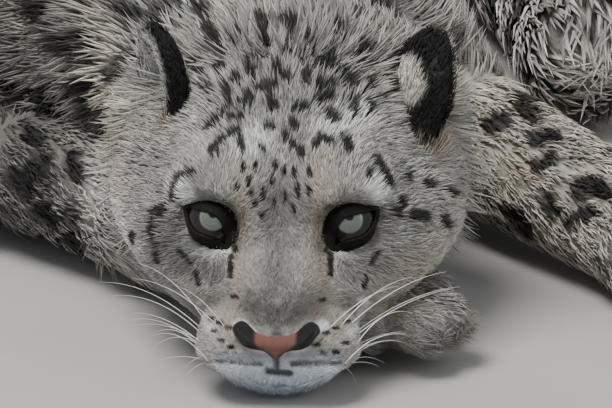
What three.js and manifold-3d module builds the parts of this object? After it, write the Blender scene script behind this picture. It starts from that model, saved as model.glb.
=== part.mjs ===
// A life-size snow leopard at rest: chin on the ground, one forearm crossed under the throat.
// Millimetres, +Z up, nose towards -Y, the animal's left towards +X.
import * as THREE from "three";
import { MarchingCubes } from "three/addons/objects/MarchingCubes.js";
import { mergeVertices } from "three/addons/utils/BufferGeometryUtils.js";
import Module from "manifold-3d";

const wasm = await Module();
wasm.setup();

// Driving dimensions.
const GAP = 0.35; // left between two pieces that touch
const NOSE_DOWN = 13; // degrees that the muzzle dips below level
const FACE_TURN = -3; // degrees that the face turns to the animal's right
const CHIN_DEPTH = 4.5; // how far the chin's fur is pressed into the ground
const HIP_HEADING = 45; // degrees that the hips are turned from the head
const EYE_RADIUS = 14.5;
const LID_THICK = 2.6;
const TAIL_RADIUS = 52; // with its coat
const PAW_RADIUS = 35;

// Places of the head, from the nose tip: out to the side, back, and up from the chin's line.
const EYE = [36, 66, 78];
const EAR_ROOT = [64, 146, 88];
const NAPE_FROM_NOSE = [0, 178, 74];
const MOUTH_UP = 24;

// Joints of the body, on the ground frame.
const WITHERS = [-82, 362, 138];
const BREAST = [-32, 318, 92];
const RIBS = [-140, 510, 138];
const LOIN = [-232, 655, 132];
const PELVIS = [-334, 770, 132];
const TAIL_ROOT = [-412, 840, 118];
const SHOULDER_L = [22, 330, 124];
const ELBOW_L = [98, 306, 50];
const WRIST_L = [210, 152, 33];
const TOES_L = [252, 48, 25];
const SHOULDER_R = [-126, 375, 208];
const ELBOW_R = [-152, 266, 54];
const WRIST_R = [-10, 128, 33];
const TOES_R = [82, 56, 25];

// Mesh sizes: the cell of the grid, and how far a flat face may stand off the form.
const BODY_MESH = { cell: 32, flat: 2 };
const HEAD_MESH = { cell: 9, flat: 0.8 };
const LIMB_MESH = { cell: 15, flat: 1.2 };
const TAIL_MESH = { cell: 28, flat: 1.4 };
const EAR_MESH = { cell: 7.5, flat: 0.6 };
const NOSE_MESH = { cell: 5, flat: 0.35 };
const TRIM_FLAT = 0.12; // slivers left by a cut are thinned to this

// Colours of the coat, the eyes and the nose leather.
const coat = new THREE.MeshStandardMaterial({ color: 0xb9b3a6, roughness: 0.9 });
const glassy = new THREE.MeshStandardMaterial({ color: 0x8c9a8e, roughness: 0.08 });
const leather = new THREE.MeshStandardMaterial({ color: 0x9a5f50, roughness: 0.55 });

const radians = THREE.MathUtils.degToRad;
const mix = (a, b, t) => a + (b - a) * t;
const mixPoint = (a, b, t) => a.map((v, i) => mix(v, b[i], t));
const clamp01 = (t) => Math.min(1, Math.max(0, t));
const towards = (a, b) => b.map((v, i) => v - a[i]);
const away = (d) => d.map((v) => -v);

// The head's own frame, set down on its chin.
const headMatrix = new THREE.Matrix4().makeRotationFromEuler(
  new THREE.Euler(radians(NOSE_DOWN), 0, radians(FACE_TURN), "ZYX"),
);
headMatrix.setPosition(0, 0, -CHIN_DEPTH);
const fromHead = (p) => new THREE.Vector3(...p).applyMatrix4(headMatrix).toArray();

// Distance fields: each form returns how far a point lies outside it, negative inside.
function blob(centre, radii, turn = 0) {
  const c = Math.cos(radians(turn));
  const s = Math.sin(radians(turn));
  return (x, y, z) => {
    const dx = x - centre[0];
    const dy = y - centre[1];
    const u = (c * dx + s * dy) / radii[0];
    const v = (c * dy - s * dx) / radii[1];
    const w = (z - centre[2]) / radii[2];
    const k0 = Math.hypot(u, v, w);
    const k1 = Math.hypot(u / radii[0], v / radii[1], w / radii[2]);
    return k1 < 1e-9 ? -Math.min(...radii) : (k0 * (k0 - 1)) / k1;
  };
}

function limb(a, b, ra, rb) {
  const ab = towards(a, b);
  const length2 = ab.reduce((sum, v) => sum + v * v, 0);
  return (x, y, z) => {
    const p = [x - a[0], y - a[1], z - a[2]];
    const t = clamp01((p[0] * ab[0] + p[1] * ab[1] + p[2] * ab[2]) / length2);
    return Math.hypot(p[0] - ab[0] * t, p[1] - ab[1] * t, p[2] - ab[2] * t) - mix(ra, rb, t);
  };
}

// Joins and carves with a soft fillet as wide as k.
const melt = (a, b, k) => {
  const h = Math.max(k - Math.abs(a - b), 0) / k;
  return Math.min(a, b) - h * h * k * 0.25;
};
const join = (k, ...forms) => (x, y, z) =>
  forms.reduce((d, form) => melt(d, form(x, y, z), k), 1e6);
const carve = (k, form, ...cuts) => (x, y, z) =>
  cuts.reduce((d, cut) => -melt(-d, cut(x, y, z), k), form(x, y, z));

// Puts a form in another frame.
function placed(matrix, form) {
  const inverse = matrix.clone().invert();
  const p = new THREE.Vector3();
  return (x, y, z) => {
    p.set(x, y, z).applyMatrix4(inverse);
    return form(p.x, p.y, p.z);
  };
}
const onHead = (form) => placed(headMatrix, (x, y, z) => form(Math.abs(x), y, z));

// The head, from the nose back.
const bridge = join(14, limb([0, 18, 42], [0, 84, 68], 18, 30), blob([11, 52, 62], [15, 40, 20]));
const muzzle = join(10, bridge, blob([20, 27, 31], [24, 27, 18]), blob([0, 14, 38], [17, 14, 16]));
const jaw = join(
  14,
  blob([0, 30, 13], [31, 23, 14]),
  limb([18, 48, 18], [46, 116, 36], 17, 32),
);
const skull = join(
  26,
  blob([0, 142, 74], [76, 74, 54]),
  blob([0, 92, 80], [52, 38, 33]),
  blob([34, 78, 92], [19, 22, 15]),
);
const cheeks = join(
  22,
  blob([47, 98, 52], [37, 46, 37]),
  blob([56, 136, 48], [42, 44, 46]),
  blob([34, 62, 54], [22, 30, 19]),
);
const socket = blob([40, 52, 83], [15, 13, 11]);
const headForm = onHead(carve(9, join(13, join(20, muzzle, skull), jaw, cheeks), socket));

// The trunk, along a spine that bends to the animal's right.
const trunkForm = join(
  70,
  blob(WITHERS, [118, 140, 144], 14),
  blob(BREAST, [98, 92, 98]),
  blob(RIBS, [138, 160, 142], 27),
  blob(LOIN, [128, 150, 136], 38),
  blob(PELVIS, [124, 128, 138], HIP_HEADING),
);
const NAPE = fromHead(NAPE_FROM_NOSE);
const neckForm = join(
  40,
  blob(NAPE, [98, 60, 66]),
  blob(mixPoint(NAPE, WITHERS, 0.4), [104, 80, 76]),
);
const shoulderL = limb(SHOULDER_L, ELBOW_L, 66, 46);
const shoulderR = limb(SHOULDER_R, ELBOW_R, 76, 50);

// A paw: four toes fanned from the ball.
function pawForm(ball, toes) {
  const heading = Math.atan2(toes[1] - ball[1], toes[0] - ball[0]);
  const across = [-Math.sin(heading), Math.cos(heading), 0];
  const forms = [limb(ball, mixPoint(ball, toes, 0.45), PAW_RADIUS, PAW_RADIUS * 0.92)];
  for (const [offset, reach] of [[-0.78, 0.78], [-0.27, 1], [0.27, 1], [0.78, 0.78]]) {
    const beside = (p, out) => p.map((v, i) => v + across[i] * offset * PAW_RADIUS * out);
    const start = beside(mixPoint(ball, toes, 0.25), 0.8);
    const tip = beside(mixPoint(ball, toes, reach), 1);
    forms.push(limb(start, tip, PAW_RADIUS * 0.6, PAW_RADIUS * 0.5));
  }
  return join(7, ...forms);
}

// A folded hind leg: side is 1 on the animal's left, -1 on its right.
function hindLeg(side) {
  const a = radians(HIP_HEADING);
  const place = (ahead, out, up) => [
    PELVIS[0] + Math.sin(a) * ahead + Math.cos(a) * out * side,
    PELVIS[1] - Math.cos(a) * ahead + Math.sin(a) * out * side,
    up,
  ];
  const hip = place(40, 90, 130);
  const knee = place(150, 146, 84);
  const hock = place(-50, 164, 40);
  const ball = place(110, 184, 28);
  const toes = place(150, 188, 26);
  const haunch = blob(place(42, 98, 116), [66, 124, 118], HIP_HEADING);
  return {
    hip: place(20, 78, 150),
    knee,
    ball,
    toes,
    corners: [knee, hock, ball, toes],
    thigh: join(30, haunch, limb(knee, hip, 54, 90)),
    lower: join(12, limb(knee, hock, 48, 38), limb(hock, ball, 34, 31), pawForm(ball, toes)),
  };
}
const hindLegs = { left: hindLeg(1), right: hindLeg(-1) };

const forelegL = join(16, limb(ELBOW_L, WRIST_L, 43, 33), pawForm(WRIST_L, TOES_L));
const forelegR = join(16, limb(ELBOW_R, WRIST_R, 46, 34), pawForm(WRIST_R, TOES_R));
const wholeForm = join(
  34,
  join(46, trunkForm, neckForm),
  headForm,
  shoulderL,
  shoulderR,
  hindLegs.left.thigh,
  hindLegs.right.thigh,
);

// The tail lies round the animal's left side.
const tailLine = new THREE.CatmullRomCurve3(
  [
    TAIL_ROOT,
    [-382, 930, 76],
    [-286, 992, 54],
    [-152, 972, 51],
    [-36, 902, 50],
    [62, 804, 50],
    [128, 690, 49],
    [166, 568, 49],
    [182, 455, 48],
  ].map((p) => new THREE.Vector3(...p)),
);
const TAIL_STEPS = 48;
const tailRadius = (t) => TAIL_RADIUS * (1 - 0.12 * t) * Math.min(1, 0.9 + 0.8 * Math.abs(t - 0.12));
const tailSpots = tailLine.getSpacedPoints(TAIL_STEPS).map((p) => p.toArray());
const tailForm = join(
  4,
  ...tailSpots.slice(1).map((p, i) => {
    const [start, end] = [i, i + 1].map((n) => tailRadius(n / TAIL_STEPS));
    return limb(tailSpots[i], p, start, end);
  }),
);

// Turns a field into a closed solid: a grid of cells, then evened and thinned triangles.
const EVEN_ROUNDS = 3;
const noLook = new THREE.MeshStandardMaterial();
function solidOf(form, low, high, { cell, flat }) {
  const centre = mixPoint(low, high, 0.5);
  const half = Math.max(...low.map((v, i) => (high[i] - v) / 2)) + 2.5 * cell;
  const size = Math.ceil((2 * half) / cell) + 1;
  const grid = new MarchingCubes(size, noLook, false, false, 60000);
  grid.isolation = 0;
  const step = half / grid.halfsize;
  const place = (i, axis) => centre[axis] + (i - grid.halfsize) * step;
  const nudge = 0.03 * cell; // keeps the surface off the grid's corners
  for (let k = 0; k < size; k++) {
    for (let j = 0; j < size; j++) {
      for (let i = 0; i < size; i++) {
        const p = [place(i, 0), place(j, 1), place(k, 2)];
        const wall = Math.max(...p.map((v, n) => Math.max(low[n] - v, v - high[n])));
        const d = wall < cell ? Math.max(form(...p), wall) : cell;
        const kept = Math.abs(d) < nudge ? nudge * Math.sign(d || 1) : d;
        grid.field[i + j * size + k * size * size] = -kept;
      }
    }
  }
  grid.update();
  const count = grid.geometry.drawRange.count;
  const positions = grid.geometry.getAttribute("position").array.slice(0, count * 3);
  for (let n = 0; n < positions.length; n++) positions[n] = centre[n % 3] + positions[n] * half;
  const loose = new THREE.BufferGeometry();
  loose.setAttribute("position", new THREE.BufferAttribute(positions, 3));
  const geometry = mergeVertices(loose, 1e-3);
  const inside = (p) => p.every((v, i) => v > low[i] + 0.3 * cell && v < high[i] - 0.3 * cell);
  even(geometry, form, inside);
  return manifoldOf(geometry).simplify(flat);
}

// Slides each vertex towards the middle of its neighbours and back onto the form.
function even(geometry, form, inside) {
  const p = geometry.getAttribute("position").array;
  const index = geometry.index.array;
  const near = Array.from({ length: p.length / 3 }, () => new Set());
  for (let t = 0; t < index.length; t += 3) {
    for (let e = 0; e < 3; e++) {
      near[index[t + e]].add(index[t + ((e + 1) % 3)]);
      near[index[t + e]].add(index[t + ((e + 2) % 3)]);
    }
  }
  for (let round = 0; round < EVEN_ROUNDS; round++) {
    const before = p.slice();
    for (let v = 0; v < near.length; v++) {
      const at = [before[3 * v], before[3 * v + 1], before[3 * v + 2]];
      if (!inside(at)) continue;
      const mean = [0, 0, 0];
      for (const n of near[v]) {
        for (let i = 0; i < 3; i++) mean[i] += before[3 * n + i] / near[v].size;
      }
      p.set(ontoForm(form, mixPoint(at, mean, 0.6), 2), 3 * v);
    }
  }
}

function slopeOf(form, q) {
  const h = 0.5;
  const d = form(...q);
  const slope = [
    (form(q[0] + h, q[1], q[2]) - d) / h,
    (form(q[0], q[1] + h, q[2]) - d) / h,
    (form(q[0], q[1], q[2] + h) - d) / h,
  ];
  return { d, slope };
}

function ontoForm(form, start, turns) {
  let q = start;
  for (let turn = 0; turn < turns; turn++) {
    const { d, slope } = slopeOf(form, q);
    const steep = Math.max(0.2, slope.reduce((sum, s) => sum + s * s, 0));
    q = q.map((x, i) => x - (d * slope[i]) / steep);
  }
  return q;
}

// Between solids and geometries.
function manifoldOf(geometry) {
  geometry.deleteAttribute("normal");
  geometry.deleteAttribute("uv");
  const merged = mergeVertices(geometry, 1e-4);
  return new wasm.Manifold(
    new wasm.Mesh({
      numProp: 3,
      vertProperties: new Float32Array(merged.getAttribute("position").array),
      triVerts: new Uint32Array(merged.index.array),
    }),
  );
}

function geometryOf(solid) {
  const mesh = solid.getMesh();
  const geometry = new THREE.BufferGeometry();
  const positions = new Float32Array(mesh.vertProperties);
  geometry.setAttribute("position", new THREE.BufferAttribute(positions, 3));
  geometry.setIndex(new THREE.BufferAttribute(new Uint32Array(mesh.triVerts), 1));
  return geometry;
}

// The same solid with every face moved out by the gap, to cut its neighbours clear.
function grown(solid) {
  const geometry = geometryOf(solid);
  const p = geometry.getAttribute("position").array;
  const index = geometry.index.array;
  const corner = (i) => new THREE.Vector3().fromArray(p, 3 * i);
  const faces = Array.from({ length: p.length / 3 }, () => []);
  for (let t = 0; t < index.length; t += 3) {
    const [a, b, c] = [0, 1, 2].map((e) => corner(index[t + e]));
    const normal = b.sub(a).cross(c.sub(a)).normalize();
    for (let e = 0; e < 3; e++) faces[index[t + e]].push(normal);
  }
  const moved = p.slice();
  faces.forEach((normals, i) => {
    const mean = normals.reduce((sum, n) => sum.add(n), new THREE.Vector3()).normalize();
    const least = Math.max(0.4, Math.min(...normals.map((n) => n.dot(mean))));
    corner(i).addScaledVector(mean, GAP / least).toArray(moved, 3 * i);
  });
  p.set(moved);
  return manifoldOf(geometry);
}

const largest = (solid) => solid.decompose().sort((a, b) => b.volume() - a.volume())[0];
const onFloor = (solid) => solid.trimByPlane([0, 0, 1], 0);
const minus = (solid, cuts) => cuts.reduce((left, cut) => left.subtract(cut), solid);
// Keeps the side of a plane through a point that the direction points to.
const beyond = (solid, point, direction) => {
  const n = new THREE.Vector3(...direction).normalize();
  return solid.trimByPlane(n.toArray(), n.dot(new THREE.Vector3(...point)) + GAP / 2);
};
const boxRound = (centre, half) => [
  centre.map((v, i) => v - half[i]),
  centre.map((v, i) => v + half[i]),
];

// A ball, and an egg along a limb that parts it from the trunk.
const ball = (radius, matrix) =>
  manifoldOf(new THREE.SphereGeometry(radius, 14, 10).applyMatrix4(matrix));
function egg(a, b, wide, past) {
  const from = new THREE.Vector3(...a);
  const long = new THREE.Vector3(...b).sub(from);
  const lengthwise = new THREE.Vector3(0, 1, 0);
  const turn = new THREE.Quaternion().setFromUnitVectors(lengthwise, long.clone().normalize());
  const size = new THREE.Vector3(wide, long.length() / 2 + past, wide);
  const place = new THREE.Matrix4().compose(from.addScaledVector(long, 0.5), turn, size);
  return manifoldOf(new THREE.SphereGeometry(1, 10, 8).applyMatrix4(place));
}
// A pair of eggs: one to keep, and one a gap wider to cut away.
const eggPair = (a, b, wide, past) => [egg(a, b, wide, past), egg(a, b, wide + GAP, past + GAP)];

const leopard = new THREE.Group();
function add(name, solid, material = coat) {
  const kept = largest(onFloor(solid).simplify(TRIM_FLAT));
  const mesh = new THREE.Mesh(geometryOf(kept), material);
  mesh.name = name;
  leopard.add(mesh);
  return kept;
}

// The eye in its frame: across, up and outward, with the almond opening of its lids.
const LOOK = [0.33, -0.86, 0.4];
const INNER_CORNER = [-25, -13, -9];
const ALMOND = { half: 14.5, up: 7.2, down: 9 };
function eyeMatrix(side) {
  const mirrored = ([x, y, z]) => new THREE.Vector3(x * side, y, z).normalize();
  const look = mirrored(LOOK);
  const up = new THREE.Vector3().crossVectors(look, mirrored(INNER_CORNER));
  up.multiplyScalar(side).normalize();
  const across = new THREE.Vector3().crossVectors(up, look);
  const place = new THREE.Matrix4().makeBasis(across, up, look);
  place.setPosition(EYE[0] * side, EYE[1], EYE[2]);
  return place.premultiply(headMatrix);
}
function almond(side) {
  const { half, up, down } = ALMOND;
  const shape = new THREE.Shape();
  shape.moveTo(-half, 0);
  shape.bezierCurveTo(-half / 2, up, half / 2, up, half, 0);
  shape.bezierCurveTo(half / 2, -down, -half / 2, -down, -half, 0);
  const deep = { depth: 2 * EYE_RADIUS, bevelEnabled: false, curveSegments: 5 };
  return manifoldOf(new THREE.ExtrudeGeometry(shape, deep).applyMatrix4(eyeMatrix(side)));
}

// The nose leather: a wedge over the philtrum, with a slit at each side.
const noseForm = onHead(
  join(5, blob([9, 5, 46], [12, 7, 7]), blob([0, 4, 41], [7, 6, 9]), blob([17, 11, 48], [6, 7, 5])),
);
const NOSTRIL = [[5, -3, 36], [11, -3.5, 40], [17, -1, 45], [22, 5, 50]];
const NOSTRIL_RADIUS = 3;
const nostrilLine = (side) =>
  new THREE.CatmullRomCurve3(
    NOSTRIL.map(([out, back, up]) => new THREE.Vector3(...fromHead([out * side, back, up]))),
  );
function cord(line, radius, steps) {
  const sides = 5;
  const circle = new THREE.Shape();
  for (let i = 0; i < sides; i++) {
    const a = (i / sides) * 2 * Math.PI;
    circle[i ? "lineTo" : "moveTo"](radius * Math.cos(a), radius * Math.sin(a));
  }
  const along = { steps, extrudePath: line, bevelEnabled: false };
  return manifoldOf(new THREE.ExtrudeGeometry(circle, along));
}

// A line round the muzzle at one height, found on the head's own surface.
const MOUTH = { halfAngle: 68, centreBack: 48, lift: 0.0009, lip: 3.2, groove: 1.9, steps: 24 };
function mouthLine(up, out) {
  const points = [];
  for (let angle = -MOUTH.halfAngle; angle <= MOUTH.halfAngle; angle += 8) {
    const a = radians(angle);
    const height = up - MOUTH.lift * angle * angle;
    const at = (r) => fromHead([Math.sin(a) * r, MOUTH.centreBack - Math.cos(a) * r, height]);
    let reach = 20;
    while (headForm(...at(reach)) < 0 && reach < 90) reach += 0.5;
    points.push(new THREE.Vector3(...at(reach + out)));
  }
  return new THREE.CatmullRomCurve3(points);
}

// An ear: a rounded cup on a root, its hollow towards the opening.
const earCup = carve(
  3,
  join(10, blob([0, 0, 22], [26, 13, 37]), blob([0, -2, -2], [29, 20, 20])),
  blob([0, 10, 26], [20, 14, 30]),
);
function ear(side, tip, open) {
  const up = new THREE.Vector3(...tip).normalize();
  const face = new THREE.Vector3(...open).projectOnPlane(up).normalize();
  const across = new THREE.Vector3().crossVectors(up, face);
  const place = new THREE.Matrix4().makeBasis(across, face, up);
  place.setPosition(EAR_ROOT[0] * side, EAR_ROOT[1], EAR_ROOT[2]);
  place.premultiply(headMatrix);
  const root = fromHead([EAR_ROOT[0] * side, EAR_ROOT[1], EAR_ROOT[2] + 18]);
  return solidOf(placed(place, earCup), ...boxRound(root, [48, 48, 54]), EAR_MESH);
}
// Both hollows point aside, and the left one further back.
const ears = {
  right: ear(-1, [-0.16, 0.1, 1], [-0.9, -0.42, 0.1]),
  left: ear(1, [0.34, 0.12, 1], [0.85, 0.5, -0.1]),
};

// Raw solids: the trunk with the upper limbs, the head, the lower limbs and the tail.
const whole = solidOf(wholeForm, [-620, 150, -30], [330, 1010, 330], BODY_MESH);
const headWhole = solidOf(wholeForm, [-130, -20, -12], [130, 262, 190], HEAD_MESH);
const tail = solidOf(tailForm, [-480, 380, -30], [260, 1060, 190], TAIL_MESH);
const foreLeft = solidOf(forelegL, [30, -10, -20], [300, 370, 120], LIMB_MESH);
const foreRight = solidOf(forelegR, [-230, 0, -20], [160, 340, 120], LIMB_MESH);
const roomForTail = grown(tail);
const lowerLegs = [foreLeft, foreRight];

// Fore limbs: each is parted at the wrist, and the upper arm is cut from the trunk.
for (const [side, solid, wrist, toes] of [
  ["left", foreLeft, WRIST_L, TOES_L],
  ["right", foreRight, WRIST_R, TOES_R],
]) {
  add("paw_front_" + side, beyond(solid, wrist, towards(wrist, toes)));
  add("forearm_" + side, beyond(solid, wrist, towards(toes, wrist)));
}
for (const [side, leg] of Object.entries(hindLegs)) {
  const bounds = (pick, past) => [0, 1, 2].map((i) => pick(...leg.corners.map((p) => p[i])) + past);
  const box = [bounds(Math.min, -65), bounds(Math.max, 65)];
  const lower = minus(solidOf(leg.lower, ...box, LIMB_MESH), [roomForTail]);
  lowerLegs.push(lower);
  const beforeBall = mixPoint(leg.ball, leg.toes, -0.6);
  add("paw_hind_" + side, beyond(lower, beforeBall, towards(leg.ball, leg.toes)));
  add("shank_" + side, beyond(lower, beforeBall, towards(leg.toes, leg.ball)));
}
const roomForLegs = [...lowerLegs.map(grown), roomForTail];
const upperLimbs = {
  upper_arm_left: eggPair(SHOULDER_L, ELBOW_L, 66, 40),
  upper_arm_right: eggPair(SHOULDER_R, ELBOW_R, 70, 44),
  thigh_left: eggPair(hindLegs.left.knee, hindLegs.left.hip, 96, 62),
  thigh_right: eggPair(hindLegs.right.knee, hindLegs.right.hip, 96, 62),
};
for (const [name, [kept]] of Object.entries(upperLimbs)) {
  add(name, minus(whole.intersect(kept), roomForLegs));
}
const roomForLimbs = [...roomForLegs, ...Object.values(upperLimbs).map(([, wider]) => wider)];

// The head: lids wrap the eyes, a lip edges the mouth, and the hollows are cut.
const sides = [-1, 1];
const nostrils = sides.map((side) => cord(nostrilLine(side), NOSTRIL_RADIUS, 8));
const noseSolid = solidOf(noseForm, ...boxRound(fromHead([0, 8, 45]), [30, 20, 18]), NOSE_MESH);
const backwards = towards(fromHead([0, 0, 0]), fromHead([0, 1, 0.15]));
const NAPE_CUT = fromHead([0, 170, 60]);
const lids = sides.map((side) => ball(EYE_RADIUS + LID_THICK, eyeMatrix(side)));
const lip = cord(mouthLine(MOUTH_UP + 4.5, -1.6), MOUTH.lip, MOUTH.steps);
const faceSolid = [...lids, lip].reduce(
  (sum, piece) => sum.add(piece),
  beyond(headWhole, NAPE_CUT, away(backwards)),
);
add(
  "head",
  minus(faceSolid, [
    ...sides.map(almond),
    ...sides.map((side) => ball(EYE_RADIUS + GAP, eyeMatrix(side))),
    ...nostrils,
    cord(mouthLine(MOUTH_UP, 0), MOUTH.groove, MOUTH.steps),
    grown(noseSolid),
    grown(ears.left),
    grown(ears.right),
    roomForLegs[0],
    roomForLegs[1],
  ]),
);
add("nose", minus(noseSolid, nostrils), leather);
add("eye_right", ball(EYE_RADIUS, eyeMatrix(-1)), glassy);
add("eye_left", ball(EYE_RADIUS, eyeMatrix(1)), glassy);
add("ear_right", ears.right);
add("ear_left", ears.left);

// The trunk in lengths along the spine, clear of the limbs.
const NECK_CUT = mixPoint(NAPE, WITHERS, 0.5);
const cuts = [
  [NAPE_CUT, backwards],
  [NECK_CUT, [0, 1, 0.1]],
  [RIBS, towards(WITHERS, LOIN)],
  [LOIN, towards(RIBS, PELVIS)],
];
["neck", "chest", "belly", "hips"].forEach((name, i) => {
  const front = beyond(whole, ...cuts[i]);
  const next = cuts[i + 1];
  const length = next ? beyond(front, next[0], away(next[1])) : front;
  const room = name === "neck" ? [grown(ears.left), grown(ears.right)] : [];
  add(name, minus(length, [...roomForLimbs, ...room]));
});

// The tail in lengths.
const TAIL_CUTS = [0, 0.2, 0.47, 0.74, 1];
const tailCut = (t) => [tailLine.getPointAt(t).toArray(), tailLine.getTangentAt(t).toArray()];
const distanceFrom = (point) => (solid) => {
  const { min, max } = solid.boundingBox();
  return new THREE.Box3(new THREE.Vector3(...min), new THREE.Vector3(...max)).distanceToPoint(point);
};
TAIL_CUTS.slice(1).forEach((end, i) => {
  const start = TAIL_CUTS[i];
  let length = tail;
  if (start > 0) length = beyond(length, ...tailCut(start));
  if (end < 1) length = beyond(length, tailCut(end)[0], away(tailCut(end)[1]));
  const off = distanceFrom(tailLine.getPointAt((start + end) / 2));
  const nearest = length.decompose().sort((a, b) => off(a) - off(b))[0];
  add("tail_" + (i + 1), nearest);
});

// The origin goes on the ground under the middle of the whole.
const middle = new THREE.Box3().setFromObject(leopard).getCenter(new THREE.Vector3());
for (const mesh of leopard.children) mesh.position.set(-middle.x, -middle.y, 0);

export default leopard;
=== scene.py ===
# %% [markdown]
# A life-size snow leopard lies with its chin on the ground and looks up at the camera.
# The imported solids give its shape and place. This file dresses them: one skin over the
# flesh, a coat of small solid tufts, glassy eyes, nose leather, lids and whiskers.
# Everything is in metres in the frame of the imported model, and the shapes are worked out
# in millimetres in the frame of the part's own source, whose nose tip lies near y = 0.

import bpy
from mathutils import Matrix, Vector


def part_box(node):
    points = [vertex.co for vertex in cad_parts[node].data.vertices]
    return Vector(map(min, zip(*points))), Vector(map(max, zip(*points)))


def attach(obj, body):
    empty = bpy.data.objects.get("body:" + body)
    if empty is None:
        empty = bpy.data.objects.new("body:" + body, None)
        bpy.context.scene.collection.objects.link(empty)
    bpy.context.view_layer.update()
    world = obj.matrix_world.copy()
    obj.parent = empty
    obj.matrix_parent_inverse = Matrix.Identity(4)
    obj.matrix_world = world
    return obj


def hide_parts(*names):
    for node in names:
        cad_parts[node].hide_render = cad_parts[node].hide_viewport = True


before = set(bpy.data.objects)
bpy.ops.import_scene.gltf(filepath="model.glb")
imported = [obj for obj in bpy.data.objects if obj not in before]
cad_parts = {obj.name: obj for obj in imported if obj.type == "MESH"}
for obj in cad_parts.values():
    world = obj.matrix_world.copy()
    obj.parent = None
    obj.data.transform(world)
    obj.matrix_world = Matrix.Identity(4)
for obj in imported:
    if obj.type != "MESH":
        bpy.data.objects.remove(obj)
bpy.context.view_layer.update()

import math
from functools import reduce

import bpy
import numpy as np
import openvdb
from mathutils import Vector

# %% [markdown]
# The named sizes repeat those of the solids: the frame is fixed, so a skin that follows
# the same forms lies inside them without any fitting. The head has a frame of its own,
# tipped down by 13 degrees and turned a little to the animal's right.

# %% Named sizes, in millimetres
MM = 0.001
NOSE_DOWN = 13
FACE_TURN = -3
CHIN_DEPTH = 4.5
HIP_HEADING = 45
EYE_RADIUS = 14.5
TAIL_RADIUS = 52
PAW_RADIUS = 35
EYE = (36, 66, 78)
EAR_ROOT = (64, 146, 88)
MOUTH_UP = 24
WITHERS = (-82, 362, 138)
BREAST = (-32, 318, 92)
RIBS = (-140, 510, 138)
LOIN = (-232, 655, 132)
PELVIS = (-334, 770, 132)
TAIL_ROOT = (-412, 840, 118)
SHOULDER_L, ELBOW_L, WRIST_L, TOES_L = (22, 330, 124), (98, 306, 50), (210, 152, 33), (252, 48, 25)
SHOULDER_R, ELBOW_R, WRIST_R, TOES_R = (-126, 375, 208), (-152, 266, 54), (-10, 128, 33), (82, 56, 25)
TAIL_POINTS = [
    TAIL_ROOT, (-382, 930, 76), (-286, 992, 54), (-152, 972, 51), (-36, 902, 50),
    (62, 804, 50), (128, 690, 49), (166, 568, 49), (182, 455, 48),
]

tip, turn = math.radians(NOSE_DOWN), math.radians(FACE_TURN)
turned = np.array([[math.cos(turn), -math.sin(turn), 0], [math.sin(turn), math.cos(turn), 0], [0, 0, 1]])
tipped = np.array([[1, 0, 0], [0, math.cos(tip), -math.sin(tip)], [0, math.sin(tip), math.cos(tip)]])
HEAD_TURN = turned @ tipped


def from_head(p):
    """A point of the head's frame on the ground frame."""
    return np.asarray(p, float) @ HEAD_TURN.T + [0, 0, -CHIN_DEPTH]


def to_head(p):
    return (p - [0, 0, -CHIN_DEPTH]) @ HEAD_TURN


eye_low, eye_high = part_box("eye_left")
eye_middle = np.array((eye_low + eye_high) / 2) / MM
SHIFT = eye_middle - from_head(EYE)
print("shift of the frame in mm:", SHIFT.round(2))

# %% [markdown]
# The camera comes first, because the markings are placed through it. It stands 3 metres
# in front of the face, looks 20 degrees down and has a long lens, so the head keeps the
# flat perspective of a portrait taken from a distance. The light is one wide soft panel
# above and a pale sky all round, on a plain pale floor.

# %% Camera
VIEW_WIDE, VIEW_HIGH = 612, 408
PITCH = math.radians(20)
DISTANCE = 3000
PIXELS_PER_MM = 1.87
AIM = np.array([15.5, 80, 84])
FOCUS = PIXELS_PER_MM * DISTANCE
view_way = np.array([0, math.cos(PITCH), -math.sin(PITCH)])
view_up = np.array([0, math.sin(PITCH), math.cos(PITCH)])
EYEPOINT = AIM - DISTANCE * view_way

camera = bpy.data.objects.new("camera", bpy.data.cameras.new("camera"))
bpy.context.scene.collection.objects.link(camera)
camera.location = (EYEPOINT + SHIFT) * MM
camera.rotation_euler = (math.pi / 2 - PITCH, 0, 0)
camera.data.sensor_width = 36
camera.data.lens = FOCUS * 36 / VIEW_WIDE
camera.data.clip_end = 100
bpy.context.scene.camera = camera
print("camera at", tuple(camera.location), "lens", round(camera.data.lens, 1))

# %% Floor and light


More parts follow.
